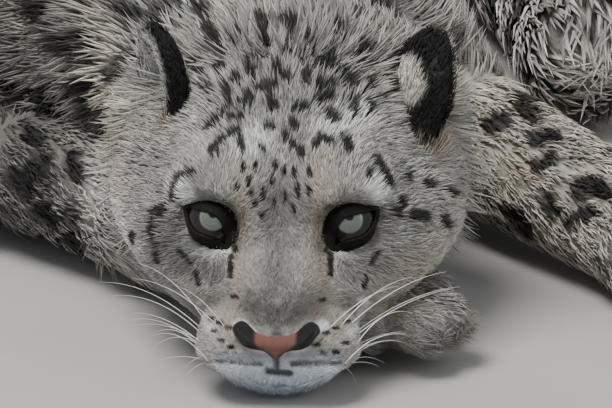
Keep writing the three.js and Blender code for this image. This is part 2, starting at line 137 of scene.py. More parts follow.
class Socket:
    """Wraps a socket of a node tree, so that shader maths reads as plain expressions."""

    tree = None

    def __init__(self, socket):
        self.socket = socket

    @classmethod
    def node(cls, kind, settings=None, out=0, **inputs):
        made = cls.tree.nodes.new(kind)
        for key, value in (settings or {}).items():
            if key == "stops":
                ramp = made.color_ramp
                while len(ramp.elements) < len(value):
                    ramp.elements.new(0.5)
                for element, (place, colour) in zip(ramp.elements, value):
                    element.position = place
                    element.color = colour
            else:
                setattr(made, key, value)
        for key, value in inputs.items():
            index = int(key[1:]) if key[1:].isdigit() else key.replace("_", " ")
            if isinstance(value, Socket):
                cls.tree.links.new(value.socket, made.inputs[index])
            else:
                made.inputs[index].default_value = value
        return cls(made.outputs[out])

    def maths(self, operation, *others):
        values = {f"_{i}": value for i, value in enumerate((self, *others))}
        return Socket.node("ShaderNodeMath", {"operation": operation}, **values)

    def __add__(self, other):
        return self.maths("ADD", other)

    def __mul__(self, other):
        return self.maths("MULTIPLY", other)

    def __sub__(self, other):
        return self.maths("SUBTRACT", other)

    def __rsub__(self, other):
        return Socket.node("ShaderNodeMath", {"operation": "SUBTRACT"}, _0=other, _1=self)

    __radd__ = __add__
    __rmul__ = __mul__

    def mixed(self, a, b):
        """The colour a where this mask is 0, and b where it is 1."""
        return Socket.node("ShaderNodeMix", {"data_type": "RGBA"}, out=2, _0=self, _6=a, _7=b)

    def tinted(self, colour):
        """This colour times another one."""
        settings = {"data_type": "RGBA", "blend_type": "MULTIPLY"}
        return Socket.node("ShaderNodeMix", settings, out=2, _0=1.0, _6=self, _7=colour)


def material(name, **constants):
    """A new material: its Principled node takes the constants, and its tree is built next."""
    made = bpy.data.materials.new(name)
    made.use_nodes = True
    Socket.tree = made.node_tree
    shader = made.node_tree.nodes["Principled BSDF"]
    for key, value in constants.items():
        shader.inputs[key.replace("_", " ")].default_value = value
    return made, shader


def feed(shader, socket_name, value):
    Socket.tree.links.new(value.socket, shader.inputs[socket_name])


def place_noise(scale, detail=3.0, stretch=(1, 1, 1)):
    """Noise over the object's own place, in a given number of waves to the metre."""
    place = Socket.node("ShaderNodeTexCoord", out=3)
    spread_out = Socket.node("ShaderNodeMapping", _0=place, Scale=stretch)
    return Socket.node("ShaderNodeTexNoise", Vector=spread_out, Scale=scale, Detail=detail)


def bump(height, distance, strength=1.0):
    return Socket.node("ShaderNodeBump", Height=height, Distance=distance, Strength=strength)


stone, shader = material("pale_floor", Roughness=0.85)
feed(shader, "Base Color", place_noise(9).mixed((0.35, 0.335, 0.312, 1), (0.42, 0.405, 0.383, 1)))
FLOOR_HALF = 6
floor_mesh = bpy.data.meshes.new("floor")
corners = [(-1, -1), (1, -1), (1, 1), (-1, 1)]
floor_mesh.from_pydata([(x * FLOOR_HALF, y * FLOOR_HALF, 0) for x, y in corners], [], [(0, 1, 2, 3)])
floor_mesh.materials.append(stone)
floor = bpy.data.objects.new("floor", floor_mesh)
bpy.context.scene.collection.objects.link(floor)

world = bpy.data.worlds.new("sky")
world.use_nodes = True
world.node_tree.nodes["Background"].inputs["Color"].default_value = (0.86, 0.92, 1, 1)
world.node_tree.nodes["Background"].inputs["Strength"].default_value = 0.6
bpy.context.scene.world = world


def panel(name, place, aim, size, power):
    light = bpy.data.lights.new(name, "AREA")
    light.shape = "DISK"
    light.size = size
    light.energy = power
    made = bpy.data.objects.new(name, light)
    made.location = place
    made.rotation_euler = (Vector(aim) - Vector(place)).to_track_quat("-Z", "Y").to_euler()
    bpy.context.scene.collection.objects.link(made)


panel("high_panel", (-0.6, -0.9, 2.6), (0.1, -0.3, 0), 1.4, 100)
panel("side_panel", (2.4, -1.2, 1.5), (0.1, -0.3, 0.1), 1.6, 14)
print("stage set")

# %% [markdown]
# The animal's body is written as distance fields: a blob or a limb tells how far a point
# lies outside it, and fields melt into each other with soft fillets. The solids were made
# from the same fields, so the skin can be found again here at any fineness. A subdivided
# cage would need each fold placed by hand; a field gives them by itself.


# %% Distance fields
def blob(centre, radii, turn=0):
    c, s = math.cos(math.radians(turn)), math.sin(math.radians(turn))
    centre, radii = np.array(centre, np.float32), np.array(radii, np.float32)

    def form(p):
        d = p - centre
        q = np.stack([c * d[:, 0] + s * d[:, 1], c * d[:, 1] - s * d[:, 0], d[:, 2]], 1) / radii
        k0 = np.sqrt(np.einsum("ij,ij->i", q, q))
        q /= radii
        k1 = np.sqrt(np.einsum("ij,ij->i", q, q))
        return k0 * (k0 - 1) / np.maximum(k1, 1e-9)

    return form


def limb(a, b, ra, rb):
    a, b = np.array(a, np.float32), np.array(b, np.float32)
    ab = b - a

    def form(p):
        t = np.clip((p - a) @ ab / (ab @ ab), 0, 1)
        d = p - a - t[:, None] * ab
        return np.sqrt(np.einsum("ij,ij->i", d, d)) - (ra + (rb - ra) * t)

    return form


def melt(a, b, k):
    h = np.maximum(k - np.abs(a - b), 0) / k
    return np.minimum(a, b) - h * h * k / 4


def join(k, *forms):
    return lambda p: reduce(lambda d, form: melt(d, form(p), k), forms[1:], forms[0](p))


def carve(k, form, *cuts):
    return lambda p: reduce(lambda d, cut: -melt(-d, cut(p), k), cuts, form(p))


def on_head(form):
    """A form of the head's frame, the same on both sides."""

    def placed(p):
        q = to_head(p)
        q[:, 0] = np.abs(q[:, 0])
        return form(q)

    return placed


def mix_point(a, b, t):
    return tuple(x + (y - x) * t for x, y in zip(a, b))


def smooth(low, high, x):
    t = np.clip((x - low) / (high - low), 0, 1)
    return t * t * (3 - 2 * t)


def slope_of(form, p, step=0.4):
    d = form(p)
    ways = [(form(p + np.eye(3)[i] * step) - d) / step for i in range(3)]
    return d, np.stack(ways, 1)


def onto(form, p, turns=2):
    """Slides points straight onto the surface of a form."""
    for _ in range(turns):
        d, slope = slope_of(form, p)
        steep = np.maximum(0.2, (slope**2).sum(1))
        p = p - (d / steep)[:, None] * slope
    return p


def unit(v):
    return v / np.maximum(np.linalg.norm(v, axis=-1, keepdims=True), 1e-9)


# %% [markdown]
# The head is built from the nose back: bridge, muzzle, jaw, skull and full cheeks, with
# shallow sockets for the eyes. The trunk bends along the spine, the legs fold beside it,
# and each paw has four toes.

# %% Forms of the animal
bridge = join(14, limb((0, 18, 42), (0, 84, 68), 18, 30), blob((11, 52, 62), (15, 40, 20)))
muzzle = join(10, bridge, blob((20, 27, 31), (24, 27, 18)), blob((0, 14, 38), (17, 14, 16)))
jaw = join(14, blob((0, 30, 13), (31, 23, 14)), limb((18, 48, 18), (46, 116, 36), 17, 32))
skull = join(
    26,
    blob((0, 142, 74), (76, 74, 54)),
    blob((0, 92, 80), (52, 38, 33)),
    blob((34, 78, 92), (19, 22, 15)),
)
cheeks = join(
    22,
    blob((47, 98, 52), (37, 46, 37)),
    blob((56, 136, 48), (42, 44, 46)),
    blob((34, 62, 54), (22, 30, 19)),
)
eye_socket = blob((40, 52, 83), (15, 13, 11))
head_form = on_head(carve(9, join(13, join(20, muzzle, skull), jaw, cheeks), eye_socket))
NAPE = tuple(from_head((0, 178, 74)))
trunk_form = join(
    70,
    blob(WITHERS, (118, 140, 144), 14),
    blob(BREAST, (98, 92, 98)),
    blob(RIBS, (138, 160, 142), 27),
    blob(LOIN, (128, 150, 136), 38),
    blob(PELVIS, (124, 128, 138), HIP_HEADING),
)
neck_form = join(
    40, blob(NAPE, (98, 60, 66)), blob(mix_point(NAPE, WITHERS, 0.4), (104, 80, 76))
)


def paw_form(ball, toes):
    heading = math.atan2(toes[1] - ball[1], toes[0] - ball[0])
    across = np.array([-math.sin(heading), math.cos(heading), 0])
    forms = [limb(ball, mix_point(ball, toes, 0.45), PAW_RADIUS, PAW_RADIUS * 0.92)]
    for offset, reach in ((-0.78, 0.78), (-0.27, 1), (0.27, 1), (0.78, 0.78)):
        start = mix_point(ball, toes, 0.25) + across * offset * PAW_RADIUS * 0.8
        end = mix_point(ball, toes, reach) + across * offset * PAW_RADIUS
        forms.append(limb(start, end, PAW_RADIUS * 0.6, PAW_RADIUS * 0.5))
    return join(7, *forms)


def hind_leg(side):
    a = math.radians(HIP_HEADING)

    def place(ahead, out, up):
        x = PELVIS[0] + math.sin(a) * ahead + math.cos(a) * out * side
        y = PELVIS[1] - math.cos(a) * ahead + math.sin(a) * out * side
        return (x, y, up)

    hip, knee, hock = place(40, 90, 130), place(150, 146, 84), place(-50, 164, 40)
    ball, toes = place(110, 184, 28), place(150, 188, 26)
    haunch = blob(place(42, 98, 116), (66, 124, 118), HIP_HEADING)
    thigh = join(30, haunch, limb(knee, hip, 54, 90))
    lower = join(12, limb(knee, hock, 48, 38), limb(hock, ball, 34, 31), paw_form(ball, toes))
    return {"thigh": thigh, "lower": lower, "joints": [hip, knee, hock, ball, toes]}


hind = {1: hind_leg(1), -1: hind_leg(-1)}
fore_left = join(16, limb(ELBOW_L, WRIST_L, 43, 33), paw_form(WRIST_L, TOES_L))
fore_right = join(16, limb(ELBOW_R, WRIST_R, 46, 34), paw_form(WRIST_R, TOES_R))
shoulders = [limb(SHOULDER_L, ELBOW_L, 66, 46), limb(SHOULDER_R, ELBOW_R, 76, 50)]
outline_form = join(
    34,
    join(46, trunk_form, neck_form),
    head_form,
    *shoulders,
    hind[1]["thigh"],
    hind[-1]["thigh"],
)


def bend(a, b, c, d, t):
    """A smooth line's point between b and c, where a comes before them and d after."""
    return 0.5 * (2 * b + (c - a) * t + (2 * a - 5 * b + 4 * c - d) * t**2
                  + (3 * b - a - 3 * c + d) * t**3)


def curve_points(points, steps):
    """Points along a smooth line through the given ones, at nearly even spacing."""
    pts = np.array([points[0], *points, points[-1]], float)
    fine = []
    for i in range(len(points) - 1):
        a, b, c, d = pts[i : i + 4]
        for t in np.linspace(0, 1, 40, endpoint=False):
            fine.append(bend(a, b, c, d, t))
    fine = np.array([*fine, pts[-1]])
    run = np.concatenate([[0], np.cumsum(np.linalg.norm(np.diff(fine, axis=0), axis=1))])
    even = np.linspace(0, run[-1], steps + 1)
    return np.stack([np.interp(even, run, fine[:, i]) for i in range(3)], 1)


TAIL_STEPS = 48
tail_line = curve_points(TAIL_POINTS, TAIL_STEPS)
tail_t = np.linspace(0, 1, TAIL_STEPS + 1)
tail_radii = TAIL_RADIUS * (1 - 0.12 * tail_t) * np.minimum(1, 0.9 + 0.8 * np.abs(tail_t - 0.12))


def chain(points, radii):
    """The distance to a chain of thick segments."""

    def form(p):
        best = np.full(len(p), 1e6, np.float32)
        for i in range(len(points) - 1):
            best = np.minimum(best, limb(points[i], points[i + 1], radii[i], radii[i + 1])(p))
        return best

    return form


tail_form = chain(tail_line, tail_radii)
print("tail length in mm:", round(float(np.linalg.norm(np.diff(tail_line, axis=0), axis=1).sum())))

# %% [markdown]
# An ear is a rounded cup on a wide root. The right one opens to the side; the left one
# is turned back, so its dark back with the white patch faces the camera.


# %% Ears, eyes and mouth line
ear_cup = carve(
    3,
    join(10, blob((0, 0, 22), (26, 13, 37)), blob((0, -2, -2), (29, 20, 20))),
    blob((0, 10, 26), (20, 14, 30)),
)
ear_hollow = blob((0, 10, 26), (20.5, 15.5, 31))
thin_ear = carve(
    2,
    join(10, blob((0, -1, 22), (24, 10.5, 35)), blob((0, -2, -4), (25, 17, 18))),
    ear_hollow,
)


def ear_frame(side, tip_way, open_way):
    up = unit(np.array(tip_way, float))
    face = np.array(open_way, float)
    face = unit(face - up * (face @ up))
    axes = np.stack([np.cross(up, face), face, up])
    origin = from_head((EAR_ROOT[0] * side, EAR_ROOT[1], EAR_ROOT[2]))
    return origin, axes @ HEAD_TURN.T


EARS = {
    "right": ear_frame(-1, (-0.16, 0.1, 1), (-0.9, -0.42, 0.1)),
    "left": ear_frame(1, (0.34, 0.12, 1), (0.85, 0.5, -0.1)),
}


def in_frame(placing, form):
    origin, axes = placing
    return lambda p: form((p - origin) @ axes.T)


LOOK = np.array([0.33, -0.86, 0.4])
OPENING_STEPS = 44
OPENING = [
    (13.5, 4.6), (9, 5.8), (3, 6), (-4, 5.6), (-8.5, 2.5), (-11, -4), (-12.4, -11),
    (-7.5, -7.8), (-2, -6.6), (4, -5.4), (9, -1.8),
]


def eye_frame(side):
    """The middle of an eye, and its axes: outwards, up and along the look."""
    mirror = np.array([side, 1, 1])
    look = unit(LOOK * mirror)
    up = unit(np.array([0, 0, 1]) - look * look[2])
    axes = np.stack([np.cross(up, look) * side, up, look])
    return from_head(np.array(EYE) * mirror), axes @ HEAD_TURN.T


EYES = {"left": eye_frame(1), "right": eye_frame(-1)}


def opening_line(count):
    """The outline of the eye's opening, run round once from the outer corner."""
    ends = np.array([OPENING[-1], *OPENING, OPENING[0], OPENING[1]], float)
    steps = np.linspace(0, len(OPENING), count, endpoint=False)
    i = steps.astype(int)
    t = (steps - i)[:, None]
    a, b, c, d = (ends[i + n] for n in range(4))
    return bend(a, b, c, d, t)


def outwards(line):
    """The direction straight out of a closed line at each of its points."""
    along = np.roll(line, -1, axis=0) - np.roll(line, 1, axis=0)
    return unit(np.stack([along[:, 1], -along[:, 0]], 1))


def opening_distance(q):
    """How far a point of the eye's frame lies outside the opening, seen along the look."""
    best = np.full(len(q), 1e9)
    inside = np.zeros(len(q), bool)
    line = opening_line(OPENING_STEPS)
    for start, end in zip(line, np.roll(line, -1, axis=0)):
        way = end - start
        t = np.clip((q[:, :2] - start) @ way / (way @ way), 0, 1)
        best = np.minimum(best, np.linalg.norm(q[:, :2] - start - t[:, None] * way, axis=1))
        crossed = (start[1] > q[:, 1]) != (end[1] > q[:, 1])
        level = start[0] + (q[:, 1] - start[1]) * way[0] / (way[1] or 1e-9)
        inside ^= crossed & (q[:, 0] < level)
    return np.where(inside, -best, best)


def eye_opening(margin):
    """A prism through each eye's opening, open to the front."""

    def form(p):
        d = np.full(len(p), 50.0)
        for origin, axes in EYES.values():
            q = (p - origin) @ axes.T
            near = np.linalg.norm(q, axis=1) < 60
            front = np.maximum(opening_distance(q[near]) - margin, -2 - q[near, 2])
            d[near] = np.minimum(d[near], front)
        return d

    return form


def ray_reach(form, at, high=90.0):
    """How far along a ray the surface of a form lies."""
    low = 15.0
    for _ in range(24):
        middle = (low + high) / 2
        low, high = (middle, high) if form(at(middle)[None])[0] < 0 else (low, middle)
    return low


def mouth_line(up, out):
    points = []
    for angle in range(-68, 69, 8):
        a = math.radians(angle)
        height = up - 0.0009 * angle * angle

        def at(r):
            return from_head((math.sin(a) * r, 48 - math.cos(a) * r, height))

        points.append(at(ray_reach(head_form, at) + out))
    return np.array(points)


lip_line = mouth_line(MOUTH_UP + 4.5, -1.8)
mouth_groove = mouth_line(MOUTH_UP, 0)
lip_form = chain(lip_line, np.full(len(lip_line), 3.2))
groove_form = chain(mouth_groove, np.full(len(mouth_groove), 1.7))
print("mouth points:", len(lip_line))

# %% [markdown]
# The skin lies inside the solids by the depth of the coat: a millimetre on the nose and
# lips, a few on the forehead, and about 15 on the neck, trunk and tail, so that the tips
# of the tufts end where the solids do. Two grids are turned into meshes, a fine one for
# the head and a coarser one for the rest, and both go into one object. They overlap under
# the thick ruff, where no edge can show.


# %% Depth of the coat and the skin's field
def head_depth(p):
    q = to_head(p)
    out = np.abs(q[:, 0])
    back = smooth(8, 90, q[:, 1])
    far = smooth(95, 180, q[:, 1])
    side = smooth(40, 85, out)
    chin = smooth(18, 4, q[:, 2]) * smooth(60, 20, q[:, 1])
    return 1.2 + 2.4 * back + 6.4 * far + 2 * side * (1 - far) + 3 * chin


def skin_form(p):
    head_part = outline_form(p) + head_depth(p)
    d = melt(head_part, fore_left(p) + 6, 10)
    d = melt(d, fore_right(p) + 5, 3)
    for leg in hind.values():
        d = melt(d, leg["lower"](p) + 6, 8)
    d = melt(d, tail_form(p) + 11, 8)
    return np.maximum(d, 0.6 - p[:, 2])


face_opening = eye_opening(2.5)


def face_form(p):
    d = skin_form(p)
    q = to_head(p)
    near = (q[:, 1] < 75) & (q[:, 2] < 60)
    if near.any():
        d[near] = melt(d[near], lip_form(p[near]) + 0.8, 4)
        d[near] = -melt(-d[near], groove_form(p[near]), 1.5)
    return np.maximum(d, -face_opening(p))


def surface_of(form, low, high, cell):
    """Turns a field into points and quads: sampled on a grid, then slid onto the field."""
    axes = [np.arange(a, b + cell, cell) for a, b in zip(low, high)]
    values = np.empty([len(a) for a in axes], np.float32)
    flat = np.stack(np.meshgrid(axes[1], axes[2], indexing="ij"), -1).reshape(-1, 2)
    for i, x in enumerate(axes[0]):
        p = np.column_stack([np.full(len(flat), x), flat])
        values[i] = form(p).reshape(values.shape[1:])
    grid = openvdb.FloatGrid(4 * cell)
    grid.copyFromArray(np.clip(values, -4 * cell, 4 * cell))
    points, quads = grid.convertToQuads(isovalue=0)
    points = onto(form, points * cell + np.array(low), 1)
    a, b, c, d = (points[quads[:, i]] for i in range(4))
    volume = np.einsum("ij,ij->i", a, np.cross(b, c) + np.cross(c, d)).sum()
    return points, quads if volume > 0 else quads[:, ::-1]


NECK_SEAM = 150
head_points, head_quads = surface_of(
    lambda p: np.maximum(face_form(p), to_head(p)[:, 1] - NECK_SEAM - 20),
    (-128, -14, -2), (128, 215, 200), 1.8,
)
body_points, body_quads = surface_of(
    lambda p: np.maximum(skin_form(p), NECK_SEAM - to_head(p)[:, 1]),
    (-610, 20, -4), (300, 1060, 300), 4.5,
)
print("head skin quads:", len(head_quads), "body skin quads:", len(body_quads))

# %% [markdown]
# Markings are strokes: soft-edged capsules laid on the surface. Each is given by its two
# ends as they are seen from the camera, and a ray finds where they lie on the coat, so
# a spot stays where it belongs from every side. Wide faint strokes tint the face: white
# chin, smoky bridge, cream beside the nose, and one wide dark stroke is painted shade
# over the body at the left of the view. Small black ones are the spots.


# %% Rays from the camera onto the coat
def coat_outline(p):
    d = np.minimum(outline_form(p), np.minimum(fore_left(p), fore_right(p)))
    for placing in EARS.values():
        d = np.minimum(d, in_frame(placing, ear_cup)(p))
    return d


def seen(pixels):
    """Where the rays through these places of the view meet the coat."""
    pixels = np.asarray(pixels, float)
    side = (pixels[:, 0] - VIEW_WIDE / 2) / FOCUS
    rise = (VIEW_HIGH / 2 - pixels[:, 1]) / FOCUS
    ways = unit(view_way + side[:, None] * np.array([1, 0, 0]) + rise[:, None] * view_up)
    reach = np.full(len(pixels), DISTANCE - 500.0)
    for _ in range(90):
        reach += np.clip(coat_outline(EYEPOINT + ways * reach[:, None]) * 0.7, -3, 60)
    reach = np.where(reach > DISTANCE + 900, DISTANCE + 3000, reach)
    return EYEPOINT + ways * reach[:, None]


MARK_DEPTH = 24


def painted(p, strokes, softness):
    """The strongest of some strokes at each point, from 0 to 1, down through the coat."""
    strokes = np.array(strokes, float)
    depth = (seen((strokes[:, 0:2] + strokes[:, 2:4]) / 2) - EYEPOINT) @ view_way
    off = p - EYEPOINT
    far = off @ view_way
    across = VIEW_WIDE / 2 + FOCUS * off[:, 0] / far
    down = VIEW_HIGH / 2 - FOCUS * (off @ view_up) / far
    best = np.zeros(len(p))
    for (x0, y0, x1, y1, r), level in zip(strokes, depth):
        room = r * (1 + softness)
        window = (
            (across > min(x0, x1) - room) & (across < max(x0, x1) + room)
            & (down > min(y0, y1) - room) & (down < max(y0, y1) + room)
        )
        near = np.flatnonzero(window)
        near = near[np.abs(far[near] - level) < MARK_DEPTH + 0.7 * r]
        if len(near):
            at = np.column_stack([across[near], down[near]])
            a, ab = np.array([x0, y0]), np.array([x1 - x0, y1 - y0])
            t = np.clip((at - a) @ ab / max(ab @ ab, 1e-6), 0, 1)
            d = np.linalg.norm(at - a - t[:, None] * ab, axis=1) / r
            best[near] = np.maximum(best[near], 1 - smooth(1 - softness, 1 + softness, d))
    return best


# %% [markdown]
# These are the marks of the face, read one by one: x and y of both ends of each stroke in
# the 612 by 408 view, and its half width. The forehead has rows of spots that shrink
# towards the brows, and black lines run from the eyes.

# %% Strokes of the face
SPOTS = [
    (238, 40, 238, 45, 6), (260, 55, 264, 56, 6.5), (219, 70, 222, 71, 6.5), (250, 71, 257, 71, 5.5),
    (276, 68, 277, 72, 5.5), (206, 91, 213, 91, 4), (228, 92, 229, 98, 4.5), (228, 86, 238, 80, 4),
    (260, 91, 274, 88, 6.5), (284, 78, 287, 82, 5), (304, 77, 306, 82, 5.5), (320, 85, 331, 87, 5.5),
    (345, 86, 353, 87, 5), (366, 84, 370, 88, 4.5), (361, 69, 368, 69, 5.5), (357, 48, 364, 54, 5),
    (325, 56, 330, 57, 5), (309, 42, 313, 45, 5), (290, 41, 293, 44, 5), (286, 53, 289, 56, 4.5),
    (298, 61, 301, 64, 4.5), (317, 68, 333, 69, 4.5), (333, 69, 347, 76, 4.5), (347, 76, 355, 86, 4),
    (248, 96, 252, 100, 4.5), (240, 105, 248, 104, 4), (232, 107, 221, 115, 3.5),
    (221, 115, 208, 130, 4.2), (231, 120, 241, 119, 4.5), (272, 103, 274, 109, 6),
    (296, 110, 304, 109, 5.5), (320, 100, 328, 99, 6.5), (328, 116, 336, 121, 5.5),
    (354, 103, 354, 114, 4.5), (366, 105, 370, 110, 4.5), (268, 129, 272, 130, 4.5),
    (293, 125, 295, 130, 4.5), (284, 135, 286, 138, 4), (240, 142, 243, 152, 3.8),
    (261, 148, 263, 151, 3.5), (291, 145, 293, 149, 3.8), (300, 152, 302, 157, 4.5),
    (238, 132, 226, 139, 4), (226, 139, 212, 153, 4.2), (315, 148, 320, 139, 4),
    (320, 139, 330, 144, 4), (342, 138, 349, 152, 4.5), (391, 86, 391, 91, 5), (399, 56, 400, 66, 6.5),
    (378, 98, 382, 104, 4), (335, 33, 340, 37, 5), (285, 28, 292, 30, 6), (262, 30, 268, 33, 5),
    (213, 36, 217, 43, 6), (196, 66, 199, 72, 4.5), (383, 71, 386, 76, 3.5),
]
SMALL_SPOTS = [
    (255, 165, 255, 169, 2.8), (243, 165, 243, 170, 2.8), (275, 164, 275, 170, 3.2),
    (284, 169, 284, 175, 3), (295, 170, 295, 177, 3.2), (309, 170, 310, 176, 3.4),
    (248, 179, 248, 184, 2.4), (272, 179, 272, 184, 2.6), (251, 190, 251, 195, 2.6),
    (263, 190, 263, 198, 3.2), (298, 186, 298, 196, 3), (309, 188, 309, 194, 2.6),
    (286, 195, 286, 200, 2.4), (255, 201, 255, 205, 2.2), (274, 202, 274, 206, 2.2),
    (294, 207, 294, 213, 2.4), (262, 213, 262, 217, 2.2), (236, 185, 237, 189, 2.2),
]
FACE_LINES = [
    (374, 160, 381, 171, 3.6), (381, 171, 387, 186, 3.6), (368, 171, 368, 178, 3.4),
    (194, 172, 184, 176, 3.2), (181, 178, 176, 189, 3), (176, 189, 174, 200, 2.6),
    (231, 238, 236, 250, 3.2), (331, 238, 326, 250, 3.2), (231, 256, 231, 276, 3),
    (330, 254, 330, 274, 3), (166, 206, 154, 214, 2.8), (156, 216, 153, 238, 2.8),
    (155, 238, 160, 262, 2.6), (392, 208, 398, 216, 3), (398, 200, 400, 206, 4.5),
    (164, 208, 164, 215, 4), (120, 234, 120, 241, 4), (137, 234, 137, 240, 4.2),
    (143, 279, 147, 282, 4), (406, 174, 406, 180, 3.6), (423, 184, 430, 185, 4.5),
    (411, 216, 421, 217, 6), (440, 219, 443, 224, 5), (457, 237, 462, 239, 4.5),
    (434, 270, 442, 270, 4.5), (181, 251, 190, 263, 2.6), (378, 252, 370, 264, 2.6),
    (196, 272, 199, 284, 2.4), (367, 276, 364, 286, 2.4), (445, 190, 449, 194, 4),
]
WHISKER_SPOTS = [
    (235, 297), (212, 318), (220, 323), (229, 328), (221, 340), (231, 347), (214, 331), (240, 336),
    (322, 300), (347, 322), (336, 328), (326, 333), (346, 343), (336, 352), (323, 353), (316, 345),
]
WHISKER_DOTS = [(x - 2, y, x + 2, y, 2.2) for x, y in WHISKER_SPOTS]
BODY_MARKS = [
    (520, 108, 536, 122, 8), (534, 142, 556, 138, 8), (540, 168, 550, 160, 8),
    (548, 198, 556, 212, 8), (572, 222, 592, 214, 8), (600, 190, 612, 196, 8),
    (588, 92, 606, 98, 9), (118, 8, 138, 18, 8), (186, 6, 208, 16, 7), (108, 74, 118, 78, 8),
    (36, 8, 52, 20, 9), (60, 42, 70, 52, 9), (4, 84, 18, 92, 10), (44, 96, 56, 108, 9),
    (16, 176, 28, 190, 10), (42, 208, 56, 220, 9), (72, 160, 80, 176, 9), (70, 236, 82, 244, 8),
    (28, 132, 40, 142, 8), (80, 82, 86, 94, 7),
]
DARK_STROKES = SPOTS + SMALL_SPOTS + FACE_LINES + WHISKER_DOTS + BODY_MARKS

WHITE, CREAM = (0.84, 0.83, 0.80), (0.50, 0.445, 0.365)
PALE, ASH = (0.40, 0.385, 0.345), (0.22, 0.212, 0.195)
SMOKE, BLACK = (0.13, 0.125, 0.118), (0.014, 0.013, 0.012)
BEIGE, ICE = (0.36, 0.315, 0.26), (0.78, 0.85, 0.93)
# The first of these two colours is painted shade, for the body where it lies in shade.
PAINTED_SHADE, LIP = (0.085, 0.08, 0.068), (0.30, 0.315, 0.325)
PALE_NECK = (0.50, 0.49, 0.44)
TINTS = [
    # The first tint is painted shade: it darkens the body and shoulder at the left of the view, which lie
    # in shade.
    (PAINTED_SHADE, 0.75, [(-20, 60, 20, 180, 66)]),
    (PALE_NECK, 0.8, [(108, 40, 98, 230, 17), (110, 8, 190, 10, 15), (488, 80, 486, 215, 22)]),
    (CREAM, 0.8, [(106, 20, 112, 110, 20), (112, 110, 118, 240, 18), (485, 80, 505, 200, 26)]),
    (ASH, 0.4, [(165, 180, 160, 260, 36), (402, 180, 408, 260, 34), (300, 60, 280, 60, 50)]),
    (ASH, 0.75, [(250, 108, 322, 108, 40)]),
    (CREAM, 0.7, [(240, 165, 242, 190, 12), (325, 165, 322, 190, 12), (395, 300, 440, 250, 22)]),
    (WHITE, 0.5, [(110, 200, 135, 280, 14), (245, 148, 262, 140, 14), (325, 128, 360, 120, 14)]),
    (CREAM, 0.9, [(241, 212, 247, 232, 7), (320, 212, 314, 232, 7)]),
    (BEIGE, 0.9, [(243, 250, 243, 318, 13), (315, 250, 318, 318, 13)]),
    (SMOKE, 0.6, [(279, 205, 278, 300, 20), (258, 300, 300, 300, 16)]),
    (SMOKE, 0.7, [(180, 262, 212, 272, 11), (378, 262, 350, 272, 11), (170, 225, 166, 250, 12)]),
    (BLACK, 0.6, [(262, 317, 292, 317, 12), (277, 328, 277, 334, 6)]),
    (WHITE, 0.9, [(207, 246, 227, 249, 5), (334, 249, 360, 245, 5), (184, 188, 188, 197, 8)]),
    (WHITE, 0.9, [(371, 184, 377, 194, 8), (203, 305, 213, 328, 6), (362, 303, 350, 330, 6)]),
    (BEIGE, 0.85, [(212, 310, 240, 338, 12), (352, 312, 322, 338, 12)]),
    (WHITE, 0.95, [(240, 326, 262, 348, 6.5), (322, 326, 296, 348, 6.5)]),
    (LIP, 0.9, [(222, 356, 268, 358, 6), (288, 358, 336, 356, 6)]),
    (ICE, 0.95, [(226, 379, 328, 379, 17)]),
    (BLACK, 0.92, [(277, 350, 277, 368, 3.6), (268, 371, 290, 373, 3.5)]),
    (BLACK, 0.8, [(218, 361, 262, 364, 1.8), (292, 364, 340, 363, 2.2)]),
]
print("strokes:", len(DARK_STROKES))

# %% [markdown]
# Behind the face the marks come from rules. The back and sides have rosettes, rings of
# smudges round a dusky middle. The legs have solid spots, and the tail has bands that
# close into rings towards its tip. Their centres are spread over the skin so that none
# comes too close to the next.


# %% Rosettes and spots of the body

def ripple(p, size, seed=0):
    """Slow smooth noise over space, from about -1 to 1, with waves of a given size."""
    ways = unit(np.random.default_rng(seed).normal(size=(7, 3)))
    starts = np.random.default_rng(seed + 1).uniform(0, 6.28, 7)
    bent = p + 0.35 * size * np.sin(p[:, [1, 2, 0]] * 2.3 / size + seed)
    return sum(np.sin(bent @ w * 6.28 / size + s) for w, s in zip(ways, starts)) / 3.2


def spread_centres(points, spacing, tries, seed):
    picks = np.random.default_rng(seed).integers(0, len(points), tries)
    centres = []
    for p in points[picks]:
        if all(np.linalg.norm(p - c) > spacing for c in centres):
            centres.append(p)
    return np.array(centres)


leg_forms = [fore_left, fore_right, hind[1]["lower"], hind[-1]["lower"]]


def leg_share(p):
    """1 on the lower legs and paws, 0 on the trunk."""
    leg = np.minimum.reduce([form(p) for form in leg_forms])
    return smooth(18, -6, leg - outline_form(p))


body_ground = body_points[body_points[:, 2] > 6]
on_tail = tail_form(body_ground) + 11 < 2
on_leg = leg_share(body_ground) > 0.5
trunk_ground = body_ground[~on_tail & ~on_leg]
rosettes = spread_centres(trunk_ground, 66, 2600, 3)
leg_spots = spread_centres(body_ground[on_leg & ~on_tail], 33, 1800, 5)
neck_near = trunk_ground[(to_head(trunk_ground)[:, 1] < 330)]
neck_spots = spread_centres(neck_near, 36, 900, 9)
print("rosettes:", len(rosettes), "leg spots:", len(leg_spots))


def ring_marks(p, centres, ring, thick, seed):
    """Broken rings round the nearest centre, and how dusky their middle is."""
    nearest = np.full(len(p), 1e9)
    which = np.zeros(len(p), int)
    for i, c in enumerate(centres):
        d = np.linalg.norm(p - c, axis=1)
        closer = d < nearest
        nearest[closer] = d[closer]
        which[closer] = i
    size = np.random.default_rng(seed).uniform(0.75, 1.2, len(centres))[which]
    wobble = 1 + 0.2 * ripple(p, 40, seed)
    off = np.abs(nearest - ring * size * wobble)
    broken = smooth(-0.75, 0.1, ripple(p, 30, seed + 4))
    edge = (1 - smooth(thick * 0.6, thick * 1.4, off)) * broken
    middle = 1 - smooth(ring * 0.5, ring * 1.1, nearest / size)
    return edge, middle


